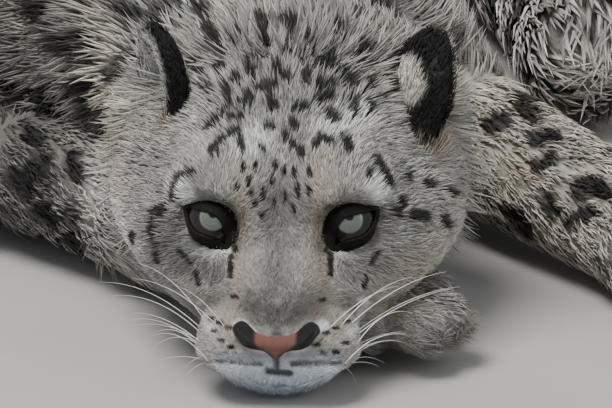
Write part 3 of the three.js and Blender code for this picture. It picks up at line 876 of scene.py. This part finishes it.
def spot_marks(p, centres, radius, seed):
    best = np.zeros(len(p))
    sizes = np.random.default_rng(seed).uniform(0.7, 1.25, len(centres)) * radius
    wobble = 1 + 0.25 * ripple(p, 18, seed)
    for c, r in zip(centres, sizes):
        near = np.abs(p - c).max(1) < r * 1.8
        if near.any():
            d = np.linalg.norm(p[near] - c, axis=1) * wobble[near] / r
            best[near] = np.maximum(best[near], 1 - smooth(0.7, 1.25, d))
    return best


def tail_place(p):
    """How far along the tail each point lies, from 0 at the root to 1."""
    best, place = np.full(len(p), 1e9), np.zeros(len(p))
    for i, c in enumerate(tail_line):
        d = ((p - c) ** 2).sum(1)
        closer = d < best
        best[closer] = d[closer]
        place[closer] = i / TAIL_STEPS
    return place


def coat_colour(p):
    """The colour of the coat at points of the ground frame in millimetres."""
    q = to_head(p)
    behind = smooth(120, 200, q[:, 1])
    legs = leg_share(p)
    tail_d = tail_form(p)
    tails = smooth(4, -8, tail_d - np.minimum(outline_form(p), 60))
    low = smooth(120, 30, p[:, 2])
    colour = np.tile(np.array(PALE), (len(p), 1))

    def blend(mask, tint):
        colour[:] = colour + (np.array(tint) - colour) * mask[:, None]

    blend(behind, (0.27, 0.25, 0.22))
    blend(behind * low * 0.7, (0.50, 0.47, 0.42))
    blend(behind * legs * smooth(-60, 60, p[:, 0]) * 0.85, (0.48, 0.42, 0.35))
    blend(tails * 0.7, (0.42, 0.40, 0.365))
    blend(0.5 * smooth(0.0, 1.0, ripple(p, 24, 11)), ASH)
    blend(0.4 * smooth(0.1, 1.0, ripple(p, 17, 13)), (0.62, 0.58, 0.50))
    face = q[:, 1] < 430
    if face.any():
        part = p[face]
        layer = colour[face]
        for tint, strength, strokes in TINTS:
            mask = (painted(part, strokes, 0.55) * strength)[:, None]
            layer += (np.array(tint) - layer) * mask
        colour[face] = layer
    free = behind * (1 - tails)
    edge, middle = ring_marks(p, rosettes, 19, 7.5, 21)
    blend(middle * free * (1 - legs) * 0.45, SMOKE)
    blend(edge * free * (1 - legs) * smooth(300, 380, q[:, 1]) * 0.93, BLACK)
    blend(spot_marks(p, neck_spots, 11, 31) * free * smooth(360, 300, q[:, 1]) * 0.85, BLACK)
    blend(spot_marks(p, leg_spots, 9, 41) * legs * free * 0.95, BLACK)
    if tails.any():
        t = tail_place(p)
        bands = np.sin(t * 92 + 0.7 * ripple(p, 60, 51)) + 0.35 * ripple(p, 34, 53)
        blend(smooth(0.15, 0.55, bands) * tails * (0.85 + 0.1 * t), BLACK)
    if face.any():
        part = colour[face]
        marks = painted(p[face], DARK_STROKES, 0.3)[:, None]
        colour[face] = part + (np.array(BLACK) - part) * marks * 0.96
    return colour


# %% [markdown]
# The skin is one mesh. Its colour attribute holds the markings and a patch of painted
# shade, and its shader adds short flat hair as streaks and bump, which show where the
# tufts are thin. The unwrap follows the animal's own shape: how far along the body a
# point lies, and the angle at which it sits round it.


# %% One skin over the flesh
def lay_out(p):
    """Place on the unwrap: length along the animal, and the angle round its axis."""
    q = to_head(p)
    centre = np.array([0, 0, 60.0])
    round_head = np.arctan2(q[:, 0], q[:, 2] - centre[2]) / (2 * math.pi) + 0.5
    along_head = np.clip(q[:, 1] / 200, 0, 1)
    spine = np.array([NAPE, WITHERS, RIBS, LOIN, PELVIS, TAIL_ROOT])
    steps = curve_points([tuple(s) for s in spine], 60)
    d = ((p[:, None, :2] - steps[None, :, :2]) ** 2).sum(2)
    near = d.argmin(1)
    along = unit(np.gradient(steps, axis=0))[near]
    off = p - steps[near]
    across = np.cross(along, [0, 0, 1])
    round_body = np.arctan2((off * across).sum(1), off[:, 2]) / (2 * math.pi) + 0.5
    head = q[:, 1] < 185
    u = np.where(head, round_head, round_body) * 0.96 + 0.02
    v = np.where(head, 0.02 + 0.36 * along_head, 0.40 + 0.58 * near / 60)
    return np.stack([u, v], 1)


def mesh_object(name, points, faces, colours=None, uv=None, finish=None, even=True):
    """A Blender mesh from arrays in millimetres of the ground frame."""
    mesh = bpy.data.meshes.new(name)
    mesh.vertices.add(len(points))
    mesh.vertices.foreach_set("co", ((points + SHIFT) * MM).astype(np.float32).ravel())
    sides = faces.shape[1]
    mesh.loops.add(faces.size)
    mesh.loops.foreach_set("vertex_index", faces.astype(np.int32).ravel())
    mesh.polygons.add(len(faces))
    mesh.polygons.foreach_set("loop_start", np.arange(0, faces.size, sides, dtype=np.int32))
    mesh.polygons.foreach_set("use_smooth", np.full(len(faces), even))
    mesh.update()
    if colours is not None:
        layer = mesh.color_attributes.new("coat", "FLOAT_COLOR", "POINT")
        rgba = np.column_stack([colours, np.ones(len(colours))]).astype(np.float32)
        layer.data.foreach_set("color", rgba.ravel())
    if uv is not None:
        mesh.uv_layers.new(name="OFBake").data.foreach_set(
            "uv", uv[faces.ravel()].astype(np.float32).ravel()
        )
    if finish is not None:
        mesh.materials.append(finish)
    made = bpy.data.objects.new(name, mesh)
    bpy.context.scene.collection.objects.link(made)
    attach(made, "root")
    return made


skin_finish, shader = material("skin_under_coat", Roughness=0.85)
painted_coat = Socket.node("ShaderNodeAttribute", {"attribute_name": "coat"})
streaks = place_noise(260, 4.0, (1, 0.35, 1))
feed(shader, "Base Color", streaks.mixed((0.45, 0.45, 0.45, 1), (1, 1, 1, 1)).tinted(painted_coat))
feed(shader, "Normal", bump(streaks, 0.002))

skin_points = np.concatenate([head_points, body_points])
skin_quads = np.concatenate([head_quads, body_quads + len(head_points)])
skin_colours = coat_colour(skin_points)
skin = mesh_object("skin", skin_points, skin_quads, skin_colours, None, skin_finish)
FLESH = [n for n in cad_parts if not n.startswith(("eye", "nose", "ear"))]
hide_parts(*FLESH)
print("skin quads:", len(skin_quads), "stands for", len(FLESH), "nodes")

# %% [markdown]
# Tufts are slim closed wedges: a small triangle at the root, a second one half way and
# a point at the tip, laid along the coat and lifted until the tip stands at the coat's
# depth. Particle hair would look softer but doesn't leave Blender, so each tuft is mesh.
# Neighbours lean the same way in clumps, and each one is a little lighter or darker.


# %% Roots spread over a surface
def surface_samples(points, quads, weight, count, seed):
    """Random roots on a mesh, more of them where the weight is high."""
    rng = np.random.default_rng(seed)
    tris = np.concatenate([quads[:, [0, 1, 2]], quads[:, [0, 2, 3]]])
    a, b, c = (points[tris[:, i]] for i in range(3))
    cross = np.cross(b - a, c - a)
    centre = (a + b + c) / 3
    area = np.linalg.norm(cross, axis=1) * weight(centre)
    normals = np.zeros_like(points)
    for i in range(3):
        np.add.at(normals, tris[:, i], cross)
    normals = unit(normals)
    pick = rng.choice(len(tris), count, p=area / area.sum())
    s, t = np.sqrt(rng.random(count)), rng.random(count)
    w = np.stack([1 - s, s * (1 - t), s * t], 1)
    root = sum(w[:, i : i + 1] * points[tris[pick, i]] for i in range(3))
    way = unit(sum(w[:, i : i + 1] * normals[tris[pick, i]] for i in range(3)))
    return root, way


spine_line = curve_points([NAPE, WITHERS, RIBS, LOIN, PELVIS, TAIL_ROOT], 40)
LEG_LINES = [
    (fore_left, [ELBOW_L, WRIST_L, TOES_L]),
    (fore_right, [ELBOW_R, WRIST_R, TOES_R]),
    (hind[1]["lower"], hind[1]["joints"][1:]),
    (hind[-1]["lower"], hind[-1]["joints"][1:]),
]


def nearest_way(p, line):
    """The direction of a line of points where it passes closest to each point."""
    line = np.asarray(line, float)
    d = ((p[:, None] - (line[1:] + line[:-1])[None] / 2) ** 2).sum(2)
    return unit(np.diff(line, axis=0))[d.argmin(1)]


def lie_of(p, normal):
    """The way in which the coat lies at each root."""
    q = to_head(p)
    side = np.sign(q[:, 0])
    out = smooth(10, 60, np.abs(q[:, 0]))
    fan = np.stack([side * (0.15 + 0.75 * out), np.ones(len(p)), 0.25 - 0.75 * out], 1)
    chin = smooth(26, 16, q[:, 2]) * smooth(62, 40, q[:, 1])
    fan += chin[:, None] * (np.array([0, -1.4, -1.2]) - fan)
    for origin, axes in EYES.values():
        away = (p - origin) @ axes.T
        reach = np.linalg.norm(away, axis=1)
        push = (smooth(46, 18, reach) * 2.4)[:, None]
        flat_away = unit(away * [1, 1, 0]) @ axes
        fan += push * (flat_away @ HEAD_TURN)
    way = fan @ HEAD_TURN.T
    back = smooth(135, 215, q[:, 1])[:, None]
    trunk = nearest_way(p, spine_line)
    trunk = trunk + np.array([0, 0, -0.55]) * smooth(0.9, 0.1, normal[:, 2:3])
    way = unit(way) * (1 - back) + unit(trunk) * back
    outline = outline_form(p)
    for form, line in LEG_LINES:
        mine = smooth(6, -6, form(p) - outline)[:, None]
        way = way + mine * (nearest_way(p, line) - way)
    tails = smooth(4, -8, tail_form(p) - np.minimum(outline, 60))[:, None]
    way = way + tails * (nearest_way(p, tail_line) - way)
    return unit(way - normal * (way * normal).sum(1, keepdims=True))


# %% Growing tufts
TUFT_FACES = np.array([
    [0, 2, 1], [0, 1, 4], [0, 4, 3], [1, 2, 5], [1, 5, 4], [2, 0, 3], [2, 3, 5],
    [3, 4, 6], [4, 5, 6], [5, 3, 6],
])
SPIKE_FACES = np.array([[0, 2, 1], [0, 1, 3], [1, 2, 3], [2, 0, 3]])
LARGEST_PIECE = 190000
HALF_PATCH = 0.0015  # half the width of a tuft's patch on the unwrap
coat_triangles = 0


def grow(name, finish, root, normal, lie, long, wide, rise, seed, fine=False, colours=None):
    """Grows one tuft from each root, and splits them into pieces of a fair size."""
    global coat_triangles
    rng = np.random.default_rng(seed)
    count = len(root)
    long = long * rng.uniform(0.7, 1.2, count)
    lean = 0.26 * ripple(root, 16, seed) + 0.16 * ripple(root, 7, seed + 5)
    across = np.cross(lie, normal)
    lie = unit(lie + across * (lean + rng.normal(0, 0.12, count))[:, None])
    across = np.cross(lie, normal)
    rise = np.minimum(rise * rng.uniform(0.55, 1.1, count), 0.42 * long)
    reach = np.sqrt(np.maximum(long**2 - rise**2, (0.3 * long) ** 2))
    base = root - normal * 0.8
    middle = root + lie * (reach * 0.5)[:, None] + normal * (rise * 0.72)[:, None]
    top = root + lie * reach[:, None] + normal * rise[:, None]
    half = (wide * rng.uniform(0.75, 1.25, count) / 2)[:, None]
    flat, thick = across * half, normal * half * 0.9
    rings = [base - flat, base + flat, base + thick]
    if not fine:
        rings += [middle - flat * 0.8, middle + flat * 0.8, middle + thick * 0.8]
    rings.append(top)
    points = np.stack(rings, 1)
    points[..., 2] = np.maximum(points[..., 2], 0.5)
    if colours is None:
        colours = coat_colour(root + lie * (reach * 0.55)[:, None])
    shade = rng.normal(1, 0.24, count).clip(0.4, 1.7)[:, None] + rng.normal(0, 0.02, (count, 3))
    colours = colours * shade
    levels = np.array([0.62] * 3 + [1.0]) if fine else np.array([0.6] * 3 + [0.95] * 3 + [1.12])
    vertex_colours = colours[:, None, :] * levels[None, :, None]
    patch = [(-1, -1), (1, -1), (0, -0.6), (0, 1)]
    if not fine:
        patch[3:3] = [(-0.8, 0), (0.8, 0), (0, 0.3)]
    uv = lay_out(root)[:, None] + HALF_PATCH * np.array(patch)[None]
    shape = SPIKE_FACES if fine else TUFT_FACES
    each = points.shape[1]
    per_piece = LARGEST_PIECE // len(shape)
    for n, start in enumerate(range(0, count, per_piece)):
        part = slice(start, start + per_piece)
        size = len(points[part])
        faces = (shape[None] + each * np.arange(size)[:, None, None]).reshape(-1, 3)
        piece = mesh_object(
            f"{name}_{n + 1}", points[part].reshape(-1, 3), faces,
            vertex_colours[part].reshape(-1, 3), uv[part].reshape(-1, 2), finish, even=False,
        )
        coat_triangles += len(faces)
    print(name, "tufts:", count, "triangles:", count * len(shape))


coat_finish, shader = material("coat_hair", Roughness=0.8, Specular_IOR_Level=0.25)
painted_coat = Socket.node("ShaderNodeAttribute", {"attribute_name": "coat"})
dusting = place_noise(700, 2.0)
feed(shader, "Base Color", dusting.mixed((0.86, 0.86, 0.86, 1), (1.14, 1.14, 1.14, 1)).tinted(painted_coat))
feed(shader, "Roughness", dusting * 0.2 + 0.7)


def clear_of_face(p):
    """False on the lids, the nose leather and the mouth's line."""
    keep = np.ones(len(p), bool)
    for origin, axes in EYES.values():
        q = (p - origin) @ axes.T
        near = (q[:, 2] > -14) & (np.abs(q[:, 0]) < 40)
        keep &= ~(near & (opening_distance(q) < 2.4))
    q = to_head(p)
    leather = (np.abs(q[:, 0]) < 19) & (q[:, 1] < 14) & (q[:, 2] > 32) & (q[:, 2] < 52)
    mouth = groove_form(p) < 1.2
    return keep & ~leather & ~mouth & (p[:, 2] > 1.2)


print("tuft shapes ready")

# %% [markdown]
# The face gets the finest tufts, about a millimetre wide and 4 to 9 long, the crown and
# cheeks longer ones, and the ruff behind the cheeks the longest. They are densest where
# the camera looks.

# %% Fur of the head


def head_weight(p):
    q = to_head(p)
    facing = smooth(190, 120, q[:, 1])
    return facing * smooth(0.5, 3.0, p[:, 2]) + 0.02


def face_weight(p):
    return head_weight(p) * smooth(112, 80, to_head(p)[:, 1])


def crown_weight(p):
    q = to_head(p)
    return smooth(60, 92, q[:, 1]) * smooth(175, 165, q[:, 1]) * (p[:, 2] > 1.5)


SHARE = 1.0


def fur_on_head(name, weight, count, long_of, wide, rise_of, seed, fine):
    root, normal = surface_samples(head_points, head_quads, weight, int(count * SHARE), seed)
    keep = clear_of_face(root)
    root, normal = root[keep], normal[keep]
    lie = lie_of(root, normal)
    q = to_head(root)
    size = wide / (SHARE**0.5)
    grow(name, coat_finish, root, normal, lie, long_of(q), size, rise_of(root), seed, fine)


fur_on_head(
    "face_fur", face_weight, 44000,
    lambda q: 3.4 + 6 * smooth(15, 95, q[:, 1]) + 7 * smooth(25, 12, q[:, 2]), 0.85,
    lambda p: head_depth(p) * 0.75, 101, True,
)
fur_on_head(
    "crown_fur", crown_weight, 37000,
    lambda q: 8 + 13 * smooth(85, 165, q[:, 1]), 0.95,
    lambda p: head_depth(p) * 0.8, 103, False,
)

# %% [markdown]
# The trunk, legs and tail wear longer and wider tufts. The front of the neck and the
# shoulders are in view, so they get more of them. The hind parts are seen only from the
# side and back.


# %% Fur of the body
def body_region(p):
    outline = outline_form(p)
    legs = np.minimum.reduce([form(p) for form in leg_forms]) < outline
    tails = tail_form(p) + 11 < np.minimum(outline + 10, 30)
    return legs, tails


def body_fur(name, chosen, count, long, wide, rise, seed):
    def weight(p):
        legs, tails = body_region(p)
        return chosen(p, legs, tails) * (p[:, 2] > 2.5) + 1e-9

    root, normal = surface_samples(body_points, body_quads, weight, int(count * SHARE), seed)
    size = np.full(len(root), wide / (SHARE**0.5))
    grow(name, coat_finish, root, normal, lie_of(root, normal),
         np.full(len(root), float(long)), size, np.full(len(root), float(rise)), seed)


FRONT_END = 430


def front(p, legs, tails):
    return (p[:, 1] < FRONT_END) & ~legs & ~tails


def rear(p, legs, tails):
    return (p[:, 1] >= FRONT_END) & ~legs & ~tails


body_fur("ruff_fur", front, 31000, 28, 1.6, 8, 201)
body_fur("trunk_fur", rear, 22000, 38, 3.4, 9.5, 203)
body_fur("leg_fur", lambda p, legs, tails: legs & ~tails, 18000, 13, 1.35, 5, 205)
body_fur("tail_fur", lambda p, legs, tails: tails, 12000, 36, 3.2, 10, 207)
print("coat triangles:", coat_triangles)

# %% [markdown]
# The ears are thin cups of skin with black rims and backs, a pale patch behind, and long
# white hair in the opening.

# %% Ears
for side, placing in EARS.items():
    origin, axes = placing
    form = in_frame(placing, thin_ear)
    points, quads = surface_of(form, origin - 52, origin + 66, 1.6)
    local = (points - origin) @ axes.T

    def ear_colour(local):
        back = smooth(0.5, 2.2, ear_hollow(local))
        rim = smooth(0.86, 1.0, np.hypot(local[:, 0] / 25, (local[:, 2] - 20) / 37))
        patch = smooth(1.15, 0.75, np.hypot(local[:, 0] / 15, (local[:, 2] - 26) / 13))
        inner = np.array((0.60, 0.59, 0.56))
        colour = np.tile(inner, (len(local), 1))
        outer = BLACK + (np.array((0.66, 0.62, 0.55)) - BLACK) * patch[:, None]
        root_tint = smooth(8, -6, local[:, 2])[:, None]
        outer = outer + (np.array((0.52, 0.44, 0.35)) - outer) * root_tint
        colour = colour + (outer - colour) * back[:, None]
        dark_rim = (rim * (1 - back) * smooth(0, 14, local[:, 2]))[:, None]
        return colour + (np.array(BLACK) - colour) * dark_rim

    ear = mesh_object(f"ear_skin_{side}", points, quads, ear_colour(local), None, skin_finish)
    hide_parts(f"ear_{side}")
    root, normal = surface_samples(points, quads, lambda p: np.ones(len(p)), int(5000 * SHARE), 301)
    local = (root - origin) @ axes.T
    local_normal = normal @ axes.T
    up = unit(axes[2] - normal * (normal @ axes[2])[:, None])
    inside = (local_normal[:, 1] > 0.2) & (local[:, 2] < 60)
    long = np.where(inside, 6 + 10 * smooth(40, 0, local[:, 2]), 7.0)
    rise = np.where(inside, 3.0, 1.5)
    grow(f"ear_fur_{side}", coat_finish, root, normal, up, long, np.full(len(root), 0.95),
         rise, 303, False, ear_colour(local))

# %% [markdown]
# Each eye is a ball with a slightly raised clear front. The iris is pale grey-green,
# darker at its rim and streaked towards the small round pupil. A clear coat gives the
# wet shine, so no second glass shell is needed.

# %% Eyes
IRIS_RADIUS, PUPIL_RADIUS, IRIS_UP, PUPIL_UP = 7.9, 2.3, 0.12, 0.24
eye_finish, shader = material(
    "eye_glass", Roughness=0.3, Specular_IOR_Level=0.1, Coat_Weight=0.45, Coat_Roughness=0.03
)
eye_paint = Socket.node("ShaderNodeAttribute", {"attribute_name": "coat"})
fleck = place_noise(1500, 3.0)
feed(shader, "Base Color", fleck.mixed((0.75, 0.75, 0.75, 1), (1.2, 1.2, 1.2, 1)).tinted(eye_paint))


def ball_mesh(rings, sides):
    """Unit directions and faces of a ball whose pole is the third axis."""
    a = np.linspace(0.004, math.pi - 0.004, rings)
    b = np.linspace(0, 2 * math.pi, sides, endpoint=False)
    a, b = np.meshgrid(a, b, indexing="ij")
    ways = np.stack([np.sin(a) * np.cos(b), np.sin(a) * np.sin(b), np.cos(a)], -1).reshape(-1, 3)
    i, j = np.meshgrid(np.arange(rings - 1), np.arange(sides), indexing="ij")
    k = (j + 1) % sides
    quads = np.stack([i * sides + j, (i + 1) * sides + j, (i + 1) * sides + k, i * sides + k], -1)
    return ways, quads.reshape(-1, 4)


for side, (origin, axes) in EYES.items():
    ways, quads = ball_mesh(90, 96)
    if side == "right":
        quads = quads[:, ::-1]
    gaze = axes @ unit(-view_way + IRIS_UP * view_up)
    pupil = axes @ unit(-view_way + PUPIL_UP * view_up)
    off = np.arccos(np.clip(ways @ gaze, -1, 1)) * EYE_RADIUS
    bulge = 0.5 * smooth(10.5, 6, off)
    points = origin + ways * (EYE_RADIUS - 0.6 + bulge)[:, None] @ axes
    from_pupil = np.arccos(np.clip(ways @ pupil, -1, 1)) * EYE_RADIUS
    angle = np.arctan2(ways[:, 1] - gaze[1], ways[:, 0] - gaze[0])
    streak = 0.5 + 0.5 * np.sin(angle * 41 + 2 * np.sin(angle * 13)) * np.sin(angle * 29 + 1)
    iris = np.array((0.12, 0.142, 0.122)) * (0.8 + 0.3 * streak[:, None])
    iris = iris + (np.array((0.19, 0.185, 0.12)) - iris) * (0.6 * smooth(5, 7.6, off))[:, None]
    colour = iris * (1 - smooth(IRIS_RADIUS - 0.9, IRIS_RADIUS + 0.2, off))[:, None]
    # Outside the iris the ball is nearly black: partly a dark limbus, partly painted shade over the sclera
    # where the lids shade it.
    colour += np.array((0.012, 0.01, 0.009)) * smooth(IRIS_RADIUS - 0.6, IRIS_RADIUS + 0.6, off)[:, None]
    colour *= smooth(PUPIL_RADIUS - 0.3, PUPIL_RADIUS + 0.4, from_pupil)[:, None]
    eye = mesh_object(f"eyeball_{side}", points, quads, colour + 0.003, None, eye_finish)
    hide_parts(f"eye_{side}")
print("eyes set")

# %% [markdown]
# The lids are black rims of bare skin. Each is a ring swept round the eye's opening:
# from behind the ball's surface, over a rounded edge, and out under the fur.

# %% Lids
lid_finish, shader = material("lid_skin", Roughness=0.45, Specular_IOR_Level=0.12)
feed(shader, "Base Color", place_noise(900).mixed((0.004, 0.004, 0.003, 1), (0.012, 0.011, 0.01, 1)))
feed(shader, "Normal", bump(place_noise(1400), 0.0006))
LEAST_DEPTH_SQUARED = 60  # keeps the corners of the lids in front of the ball
LID_RINGS = [(-0.2, -1.2), (0, 0.2), (0.4, 0.7), (1.0, 0.8), (1.8, 0.5), (2.8, -0.3), (4.2, -2)]
EDGE_POINTS = 72
for side, (origin, axes) in EYES.items():
    rings = []
    for n, (grow_by, lift) in enumerate(LID_RINGS):
        line = opening_line(EDGE_POINTS)
        heavy = 1 + 1.5 * smooth(0, -7, line[:, 1:]) * smooth(8, -6, line[:, :1])
        edge = line + outwards(line) * grow_by * heavy
        radius = EYE_RADIUS + lift
        room = np.hypot(edge[:, 0], edge[:, 1])
        depth = np.sqrt(np.maximum(radius**2 - room**2, LEAST_DEPTH_SQUARED))
        ring = origin + np.column_stack([edge, depth]) @ axes
        if n >= 4:
            sunk = onto(skin_form, ring, 3)
            pull = (n - 3) / (len(LID_RINGS) - 4)
            ring = ring + (sunk - ring) * pull
            if n == len(LID_RINGS) - 1:
                ring = ring - axes[2] * 1.5
        rings.append(ring)
    points = np.concatenate(rings)
    i, j = np.meshgrid(np.arange(len(rings) - 1), np.arange(EDGE_POINTS), indexing="ij")
    k = (j + 1) % EDGE_POINTS
    faces = np.stack(
        [i * EDGE_POINTS + j, i * EDGE_POINTS + k, (i + 1) * EDGE_POINTS + k, (i + 1) * EDGE_POINTS + j], -1
    ).reshape(-1, 4)
    if side == "left":
        faces = faces[:, ::-1]
    lid = mesh_object(f"lid_{side}", points, faces, None, None, lid_finish)
print("lids set")

# %% [markdown]
# The nose leather is a wedge over the cleft of the lip, salmon pink in the middle and
# black round the two comma-shaped nostrils, with a fine pebbled grain.

# %% Nose
NOSTRIL = [(5, -3, 36), (11, -3.5, 40), (17, -1, 45), (22, 5, 50)]
nostril_chain = chain(np.array(NOSTRIL, float), [2.2, 2.8, 2.4, 1.4])
nose_form = on_head(
    carve(
        1.5,
        join(
            4,
            blob((8, 4.5, 44), (11, 6.5, 5)),
            blob((0, 4, 40.5), (6.5, 6, 8.5)),
            blob((17, 9, 47.5), (6, 6.5, 3.4)),
        ),
        nostril_chain,
    )
)
nose_middle = from_head((0, 8, 45))
points, quads = surface_of(nose_form, nose_middle - [30, 20, 18], nose_middle + [30, 20, 18], 0.8)
local = to_head(points)
local[:, 0] = np.abs(local[:, 0])
hollow = smooth(3.2, 0.6, nostril_chain(local))
above_line = local[:, 2] - 31.8 - 0.82 * local[:, 0]
pink = smooth(0.3, 2.2, above_line) * smooth(12, 9.5, local[:, 0]) * (1 - hollow)
colour = np.array((0.016, 0.014, 0.014)) + pink[:, None] * np.array((0.36, 0.14, 0.10))
nose_finish, shader = material("nose_leather", Roughness=0.48, Specular_IOR_Level=0.5)
nose_paint = Socket.node("ShaderNodeAttribute", {"attribute_name": "coat"})
pebbles = Socket.node("ShaderNodeTexVoronoi", Scale=900.0)
grain = place_noise(420).mixed((0.7, 0.7, 0.7, 1), (1.15, 1.15, 1.15, 1))
feed(shader, "Base Color", grain.tinted(nose_paint))
feed(shader, "Normal", bump(pebbles, 0.0005))
nose = mesh_object("nose_pad", points, quads, colour, None, nose_finish)
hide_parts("nose")
print("nose quads:", len(quads))

# %% [markdown]
# Whiskers are long white bristles that spring from the rows of dots on the lip and arc
# back and out. Each is a thin tube of three sides that tapers to a point.

# %% Whiskers
whisker_finish, shader = material("whisker", Roughness=0.35, Specular_IOR_Level=0.6)
feed(shader, "Base Color", place_noise(60).mixed((0.80, 0.78, 0.74, 1), (0.95, 0.94, 0.92, 1)))
WHISKER_STEPS = 9


def bristles(name, roots, ends, sag, radius):
    """Thin tubes from roots to ends, arched by a sag."""
    points, faces = [], []
    for root, end, drop in zip(roots, ends, sag):
        way = unit(end - root)
        side = unit(np.cross(way, [0, 0, 1]))
        over = np.cross(side, way)
        for i in range(WHISKER_STEPS + 1):
            t = i / WHISKER_STEPS
            centre = root + (end - root) * t + np.array([0, 0, 1]) * drop * 4 * t * (1 - t)
            r = radius * (1 - 0.85 * t)
            for n in range(3):
                a = n * 2 * math.pi / 3
                points.append(centre + side * r * math.cos(a) + over * r * math.sin(a))
        start = len(points) - 3 * (WHISKER_STEPS + 1)
        for i in range(WHISKER_STEPS):
            for n in range(3):
                a, b = start + 3 * i + n, start + 3 * i + (n + 1) % 3
                faces.append((a, b, b + 3, a + 3))
    made = mesh_object(name, np.array(points), np.array(faces), None, None, whisker_finish)


rng = np.random.default_rng(77)
for side_name, side in (("left", 1), ("right", -1)):
    roots, ends, sags = [], [], []
    for row in range(4):
        for n in range(3 + row % 2):
            start = np.array((side * (25 + 4.5 * n), 18 + 4.5 * n, 36 - 4.2 * row))
            start = from_head(start)
            start = onto(face_form, start[None], 3)[0]
            reach = 20 + 4 * (3 - row) + 7 * n + rng.uniform(-7, 7)
            rise = 18 - 10 * row + 3 * n + rng.uniform(-5, 5)
            end = start + np.array((side * reach, 14 + 5 * n, rise))
            end[2] = max(end[2], 3)
            roots.append(start)
            ends.append(end)
            sags.append(rng.uniform(3, 8))
    bristles(f"whiskers_{side_name}", roots, ends, sags, 0.34)
print("whiskers set")
